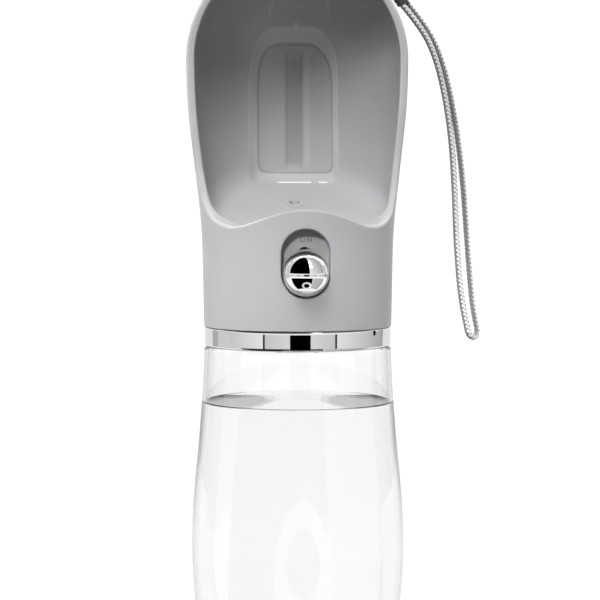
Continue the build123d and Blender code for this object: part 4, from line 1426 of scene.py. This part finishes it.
@dataclass(frozen=True)
class Braid(Finish):
    """Polyester braid: glossy filaments in strands that cross two over and two under.

    The eye gets a herringbone of pale and dark strands. The strands' places are worked out from the
    tube's own map, the share of a turn and the millimetres along it.
    """

    carriers: int = 8
    lay: float = 1.5
    pale: str = "#F4F4F5"
    dark: str = "#88888C"
    pale_share: float = 0.5

    def paint(self, tree: bpy.types.NodeTree, shader: bpy.types.Node) -> None:
        """Colours each strand by its number, paints shade into the grooves and scatters pale flecks."""
        place = add_node(tree, "ShaderNodeTexCoord")
        split = add_node(tree, "ShaderNodeSeparateXYZ", Vector=(place, "UV"))

        def maths(operation: str, first, second=0.0) -> tuple[bpy.types.Node, str]:
            """A sum, product or other sum of two numbers or outputs."""
            return (add_node(tree, "ShaderNodeMath", {"operation": operation}, in0=first, in1=second), "Value")

        around = maths("MULTIPLY", (split, "X"), self.carriers / 2)
        along = maths("DIVIDE", (split, "Y"), self.lay)
        left = maths("ADD", around, along)
        right = maths("SUBTRACT", around, along)
        both = maths("ADD", maths("FLOOR", left), maths("FLOOR", right))
        over = maths("LESS_THAN", maths("MODULO", maths("ADD", both, 400.0), 4.0), 1.5)
        crown_left = maths("ABSOLUTE", maths("SINE", maths("MULTIPLY", left, math.pi)))
        crown_right = maths("ABSOLUTE", maths("SINE", maths("MULTIPLY", right, math.pi)))
        crown = maths("ADD", maths("MULTIPLY", over, crown_left),
                      maths("MULTIPLY", maths("SUBTRACT", 1.0, over), crown_right))
        pale = maths("MULTIPLY", over, 1.0)
        flecks = add_node(tree, "ShaderNodeTexNoise", Vector=(place, "UV"), Scale=6.0, Detail=2.0)
        spread = maths("MULTIPLY", pale, maths("ADD", maths("MULTIPLY", (flecks, "Fac"), 0.9), 0.5))
        tone = add_node(
            tree, "ShaderNodeMix", {"data_type": "RGBA"}, in0=spread, in6=colour(self.dark), in7=colour(self.pale))
        # painted shade: the grooves between the strands darken the tone down to 0.35
        groove = add_node(
            tree, "ShaderNodeMapRange", Value=crown, From_Min=0.0, From_Max=0.7, To_Min=0.35, To_Max=1.0)
        final = add_node(
            tree, "ShaderNodeMix", {"data_type": "RGBA", "blend_type": "MULTIPLY"}, in0=1.0, in6=(tone, 2),
            in7=(groove, "Result"))
        filament = add_node(tree, "ShaderNodeTexWave", {"bands_direction": "X"}, Scale=4.0, Distortion=2.0,
                            Vector=(place, "UV"))
        bump = add_node(tree, "ShaderNodeBump", Strength=0.25, Distance=0.03 * MM, Height=(filament, "Fac"))
        tree.links.new(final.outputs[2], shader.inputs["Base Color"])
        tree.links.new(bump.outputs["Normal"], shader.inputs["Normal"])
        shader.inputs["Sheen Weight"].default_value = 0.25


@dataclass(frozen=True)
class PlainMoulding(Finish):
    """Small moulded or drawn part inside the head: fine grain over an even colour."""

    grain: float = 0.4
    depth: float = 0.01

    def paint(self, tree: bpy.types.NodeTree, shader: bpy.types.Node) -> None:
        """Grain as bump and as a slight change of tone."""
        place = add_node(tree, "ShaderNodeTexCoord")
        grain = add_node(tree, "ShaderNodeTexNoise", Vector=(place, "Object"), Scale=1 / (self.grain * MM), Detail=2.0)
        tint = colour(self.tint)
        lower = tuple(v * 0.88 for v in tint[:3]) + (1.0,)
        tone = add_node(tree, "ShaderNodeMix", {"data_type": "RGBA"}, in0=(grain, "Fac"), in6=lower, in7=tint)
        bump = add_node(tree, "ShaderNodeBump", Strength=0.3, Distance=self.depth * MM, Height=(grain, "Fac"))
        tree.links.new(tone.outputs[2], shader.inputs["Base Color"])
        tree.links.new(bump.outputs["Normal"], shader.inputs["Normal"])


FINISHES = {
    "housing": SatinMoulding("satin grey ABS", "#B0B0B2", 0.34, 1.53),
    "scoop": ScoopMoulding("satin grey ABS, painted panel and rim light", "#B0B0B2", 0.34, 1.53),
    # painted shade: the letters are darker grey, standing for the shade that falls into them
    "word": PlainMoulding("grey ABS, painted engraving shade", "#747476", 0.5, 1.5),
    "clear": ClearMoulding("clear copolyester", "#FBFBFB", 0.0, 1.54),
    "water": ClearMoulding("water", "#F5F5F6", 0.0, 1.33, depth=0.0, edge="#F5F5F6"),
    "chrome": BrightPlate("bright chromium plate", "#E9EAEB", 0.02, metallic=1.0),
    "braid": Braid("silver herringbone braid", "#C8C8CA", 0.5),
    "thin braid": Braid("dark cord braid", "#2A2A2C", 0.6, carriers=8, lay=0.7, pale="#4A4A4D", dark="#1C1C1E"),
    "clasp": PlainMoulding("dark acetal", "#4A4A4C", 0.4, 1.48),
    "natural": PlainMoulding("natural polypropylene", "#E4E4E2", 0.5, 1.49, grain=0.6),
    "gasket": PlainMoulding("black silicone", "#1C1C1E", 0.45, 1.41, grain=0.8),
    "silicone": PlainMoulding("white silicone", "#E8E9EA", 0.45, 1.41, grain=0.8),
    "spring": PlainMoulding("drawn spring steel", "#B4B5B7", 0.28, metallic=1.0, grain=0.2),
    "zinc": PlainMoulding("zinc plated steel", "#AEB0B4", 0.38, metallic=1.0, grain=0.2),
    "spout": PlainMoulding("grey spout polypropylene", "#6E6E70", 0.45, 1.49),
}
NODE_FINISHES = {
    "neck_gasket": "gasket", "thread_collar": "spout", "valve_cage": "natural", "valve_spring": "spring",
    "valve_plunger": "natural", "valve_washer": "silicone", "valve_chamber": "natural", "stem_seal": "silicone",
    "outlet_tube": "silicone", "outlet_nozzle": "housing", "slider_guide": "natural", "guide_screws": "zinc",
    "lock_slider": "housing", "slider_washer": "housing", "button_stem": "natural", "button_spring": "spring",
    "stem_clip": "spring",
}


def dress(piece: bpy.types.Object, material: bpy.types.Material, body: str) -> None:
    """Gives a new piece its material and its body."""
    piece.data.materials.clear()
    piece.data.materials.append(material)
    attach(piece, body)


# ---------------------------------------------------------------- studio
@dataclass(frozen=True)
class Studio:
    """Pale sweep, soft lights, dark and grey cards for the plated parts, and the camera."""

    yaw: float = math.radians(5.0)
    distance: float = 720.0
    eye: float = 190.0
    aim: float = 147.9
    aside: float = 0.8
    lens: float = 125.3

    def ahead(self, angle: float = 0.0) -> np.ndarray:
        """Level direction that the camera looks along, turned by an angle to its right."""
        return np.array([math.sin(self.yaw + angle), math.cos(self.yaw + angle), 0.0])

    def camera(self) -> None:
        """Places the camera at the photograph's angle."""
        data = bpy.data.cameras.new("camera")
        data.lens = self.lens
        data.clip_start = 0.01
        data.clip_end = 20.0
        made = bpy.data.objects.new("camera", data)
        bpy.context.scene.collection.objects.link(made)
        ahead = self.ahead()
        target = np.array([ahead[1], -ahead[0], 0.0]) * self.aside + (0, 0, self.aim)
        place = target - ahead * self.distance
        place[2] = self.eye
        made.location = Vector(place * MM)
        made.rotation_euler = Vector(target - place).to_track_quat("-Z", "Y").to_euler()
        bpy.context.scene.camera = made

    def sweep(self) -> None:
        """Adds the floor, which curves up into the backdrop behind the bottle."""
        bend = np.linspace(0, math.pi / 2, 24)
        line = np.concatenate([
            [[-2500.0, 0.0]], np.column_stack([900 + 500 * np.sin(bend), 500 * (1 - np.cos(bend))]),
            [[1400.0, 2600.0]]])
        across = np.linspace(-2600, 2600, 14)
        grid = np.stack([
            np.broadcast_to(across, (len(line), 14)), np.broadcast_to(line[:, :1], (len(line), 14)),
            np.broadcast_to(line[:, 1:], (len(line), 14))], -1)
        sheets = Sheets()
        sheets.add(grid, flip=True)
        floor = sheets.build("sweep")
        paper = Finish("white paper", "#404040", 0.9).material()
        paper.node_tree.nodes["Principled BSDF"].inputs["Emission Color"].default_value = (1, 1, 1, 1)
        paper.node_tree.nodes["Principled BSDF"].inputs["Emission Strength"].default_value = 1.02
        floor.data.materials.append(paper)
        floor.visible_diffuse = False

    @staticmethod
    def glow(name: str, left: float, right: float) -> bpy.types.Material:
        """A glowing surface, its strength running from left to right across its map."""
        material = bpy.data.materials.new(name)
        material.use_nodes = True
        tree = material.node_tree
        tree.nodes.clear()
        place = add_node(tree, "ShaderNodeTexCoord")
        across = add_node(tree, "ShaderNodeSeparateXYZ", Vector=(place, "UV"))
        level = add_node(tree, "ShaderNodeMapRange", Value=(across, "X"), To_Min=left, To_Max=right)
        light = add_node(tree, "ShaderNodeEmission", Strength=(level, "Result"))
        add_node(tree, "ShaderNodeOutputMaterial", Surface=(light, "Emission"))
        return material

    def card(
        self, name: str, angles: tuple[float, float], climbs: tuple[float, float], greys: tuple[float, float],
        reach: float = 640.0, middle: float = 140.0, through: bool = False
    ) -> None:
        """Adds a curved card round the bottle that only mirrors see, or that is only seen through glass.

        Args:
            name: The card's name.
            angles: Its left and right edge, in degrees to the right of the camera's side of the bottle.
            climbs: Its lower and upper edge, in degrees above the ball's height.
            greys: How bright its left and right edge are; 0 is black.
            reach: Its distance from the bottle's axis.
            middle: The height that the climbs are seen from.
            through: The card is for what is seen through the bottle, and not for mirrors.
        """
        share = np.linspace(0, 1, 25)[None]
        turn = np.radians(angles[0] + (angles[1] - angles[0]) * share) - self.yaw
        climb = np.radians(climbs[0] + (climbs[1] - climbs[0]) * np.linspace(0, 1, 9)[:, None])
        grid = np.stack([
            np.sin(turn) * np.cos(climb), -np.cos(turn) * np.cos(climb), np.sin(climb) + 0 * turn], -1)
        sheets = Sheets()
        sheets.add(grid * reach + (0, 0, middle), uv=np.stack(np.broadcast_arrays(share, climb), -1))
        made = sheets.build(name)
        made.data.materials.append(self.glow(name, *greys))
        made.visible_camera = False
        made.visible_diffuse = False
        made.visible_shadow = False
        made.visible_transmission = through
        made.visible_glossy = not through

    def hoop(self, name: str, climb: float, angles: tuple[float, float], reach: float, middle: float) -> None:
        """Adds a bright hoop below the camera that only mirrors see.

        Args:
            name: The card's name.
            climb: How far its middle is above the ball's height, in degrees.
            angles: Its inner and outer edge, in degrees from its middle.
            reach: Its distance from the bottle's axis.
            middle: The height that the climb is seen from.
        """
        turn = np.linspace(0, 2 * math.pi, 49)
        wide = np.radians(np.linspace(*angles, 5))[:, None]
        out = np.stack([np.sin(wide) * np.cos(turn), -np.cos(wide) + 0 * turn, np.sin(wide) * np.sin(turn)], -1)
        tilt = math.radians(climb)
        y = out[..., 1] * math.cos(tilt) + out[..., 2] * math.sin(tilt)
        z = out[..., 2] * math.cos(tilt) - out[..., 1] * math.sin(tilt)
        grid = np.stack([out[..., 0], y, z], -1)
        share = np.broadcast_to((np.cos(turn)[None] + 1) / 2, grid.shape[:2])
        sheets = Sheets()
        sheets.add(grid * reach + (0, 0, middle), uv=np.stack([share, share], -1))
        made = sheets.build(name)
        made.data.materials.append(self.glow(name, 0.75, 1.0))
        made.visible_camera = made.visible_diffuse = made.visible_shadow = made.visible_transmission = False

    def lamp(
        self, name: str, place: tuple[float, float, float], aim: tuple[float, float, float],
        size: tuple[float, float], power: float, spread: float = math.pi
    ) -> None:
        """Adds a soft box.

        Args:
            name: The light's name.
            place: Its middle.
            aim: What it points at.
            size: Its width and height.
            power: Watts.
            spread: Angle of the beam; a small one is a soft box with a grid.
        """
        data = bpy.data.lights.new(name, "AREA")
        data.shape = "RECTANGLE"
        data.size, data.size_y = size[0] * MM, size[1] * MM
        data.energy = power
        data.spread = spread
        made = bpy.data.objects.new(name, data)
        bpy.context.scene.collection.objects.link(made)
        made.location = Vector(place) * MM
        made.rotation_euler = (Vector(aim) - Vector(place)).to_track_quat("-Z", "Y").to_euler()
        made.visible_glossy = False
        made.visible_transmission = False

    def dome(self) -> None:
        """Adds a white dome round the studio: for mirrors, for what is seen through the bottle and past the sweep."""
        climb = np.linspace(-math.pi / 2, math.pi / 2, 25)
        grid = turned(np.column_stack([np.cos(climb), np.sin(climb)]) * 5200.0, 48)
        sheets = Sheets()
        sheets.add(grid, closed=True, flip=True)
        made = sheets.build("dome")
        made.data.materials.append(self.glow("white dome", 1.0, 1.0))
        made.visible_diffuse = made.visible_shadow = False

    def build(self) -> None:
        """Lights the scene and sets up the camera."""
        world = bpy.data.worlds.new("studio")
        bpy.context.scene.world = world
        world.use_nodes = True
        world.node_tree.nodes["Background"].inputs["Color"].default_value = (1, 1, 1, 1)
        world.node_tree.nodes["Background"].inputs["Strength"].default_value = 0.14
        bpy.context.scene.view_settings.view_transform = "Standard"
        self.camera()
        self.sweep()
        self.lamp("overhead", (-60, -170, 1250), (0, 0, 150), (600, 500), 3.2)
        self.lamp("key", (-300, -680, 1150), (0, 0, 200), (440, 440), 12)
        self.lamp("barrel_fill", (-110, -430, 330), (0, 0, 144), (380, 90), 0.075, math.radians(14))
        self.lamp("side_left", (-980, 260, 350), (0, 0, 180), (700, 900), 6)
        self.lamp("side_right", (980, 260, 350), (0, 0, 180), (700, 900), 6)
        self.dome()
        for name, angles, greys in (
            ("card_left_end", (-180, -127), (0.85, 0.85)), ("card_left", (-127, -42), (0.44, 0.92)),
            ("card_left_line", (-42, -39.5), (0.03, 0.03)), ("card_left_panel", (-39.5, -9), (0.66, 0.8)),
            ("card_black", (-9, 15.5), (0.0, 0.0)), ("card_right_panel", (15.5, 45.5), (0.8, 0.66)),
            ("card_right_line", (45.5, 48), (0.02, 0.02)), ("card_right", (48, 127), (0.9, 0.42)),
            ("card_right_end", (127, 180), (0.85, 0.85)),
        ):
            self.card(name, angles, (-9, -0.5), greys)
        for name, angles, climbs, greys in (
            ("card_high_black", (-84, 18), (2.5, 84), (0.0, 0.0)), ("card_high_grey", (18, 96), (2.5, 84), (0.95, 0.4)),
            ("card_high_line", (104, 109), (-6, 46), (0.0, 0.0)), ("card_high_left", (-112, -88), (-15, 44), (0.7, 0.7)),
        ):
            self.card(name, angles, climbs, greys, reach=560.0, middle=158.0)
        self.card("card_glint", (22, 33), (28, 62), (9.0, 9.0), reach=540.0, middle=158.0)
        self.card("card_behind", (112, 248), (25, 80), (3.5, 3.5), reach=1150.0, middle=158.0)
        for name, angles, climbs, greys in (
            ("card_low_black", (-66, 28), (-62, -15), (0.0, 0.0)), ("card_low_grey", (30, 88), (-58, -15), (0.6, 0.48)),
        ):
            self.card(name, angles, climbs, greys, reach=150.0, middle=158.0)
        self.hoop("card_hoop", -47.0, (10.0, 17.0), reach=146.0, middle=158.0)
        self.card("flag_left", (-140, -90), (-29, 45), (1.0, 0.2), reach=130.0, middle=66.0, through=True)
        self.card("flag_right", (90, 140), (-29, 45), (0.2, 1.0), reach=130.0, middle=66.0, through=True)
        log.info("studio: camera %.0f mm away", self.distance)


# ---------------------------------------------------------------- the whole
def shorten_springs() -> None:
    """Gives each of the two springs its own copy of its mesh; the joints, axes, fixed ends and travels listed with them
    are not used.
    """
    for node, joint, axis, fixed, travel in (
        ("valve_spring", "valve_open", 2, 135.2, 2.7), ("button_spring", "button_press", 1, -27.4, 2.6),
    ):
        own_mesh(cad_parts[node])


def main() -> None:
    """Builds the stage, the cords and every piece, in that order."""
    logging.basicConfig(level=logging.INFO, format="%(message)s")
    Studio().build()
    finishes = {name: finish.material() for name, finish in FINISHES.items()}
    for node, name in NODE_FINISHES.items():
        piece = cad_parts[node]
        piece.data.materials.clear()
        piece.data.materials.append(finishes[name])
    form = HeadForm(bottom=float(low_corner("scoop_housing")[2]), arch_centre=float(low_corner("scoop_housing")[2]) + 91.8)
    angle = math.radians(52.0)
    reach = form.arch_radius + 3.2
    ear = np.array([reach * math.cos(angle), 6.0, form.arch_centre + reach * math.sin(angle)])
    WristLoop().build(ear, finishes)
    shell = Housing(form, Panel(), Slot())
    word = shell.word(0.5, 169.6, 1.8)
    dress(word, finishes["word"], "head")
    housing = shell.build()
    dress(housing, finishes["scoop"], "head")
    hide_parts("scoop_housing")
    log.info("housing: %d faces", len(housing.data.polygons))
    Bottle().build(finishes)
    PlatedRing().build(finishes)
    BallButton().build(finishes)
    shorten_springs()


if __name__ == "__main__":
    main()
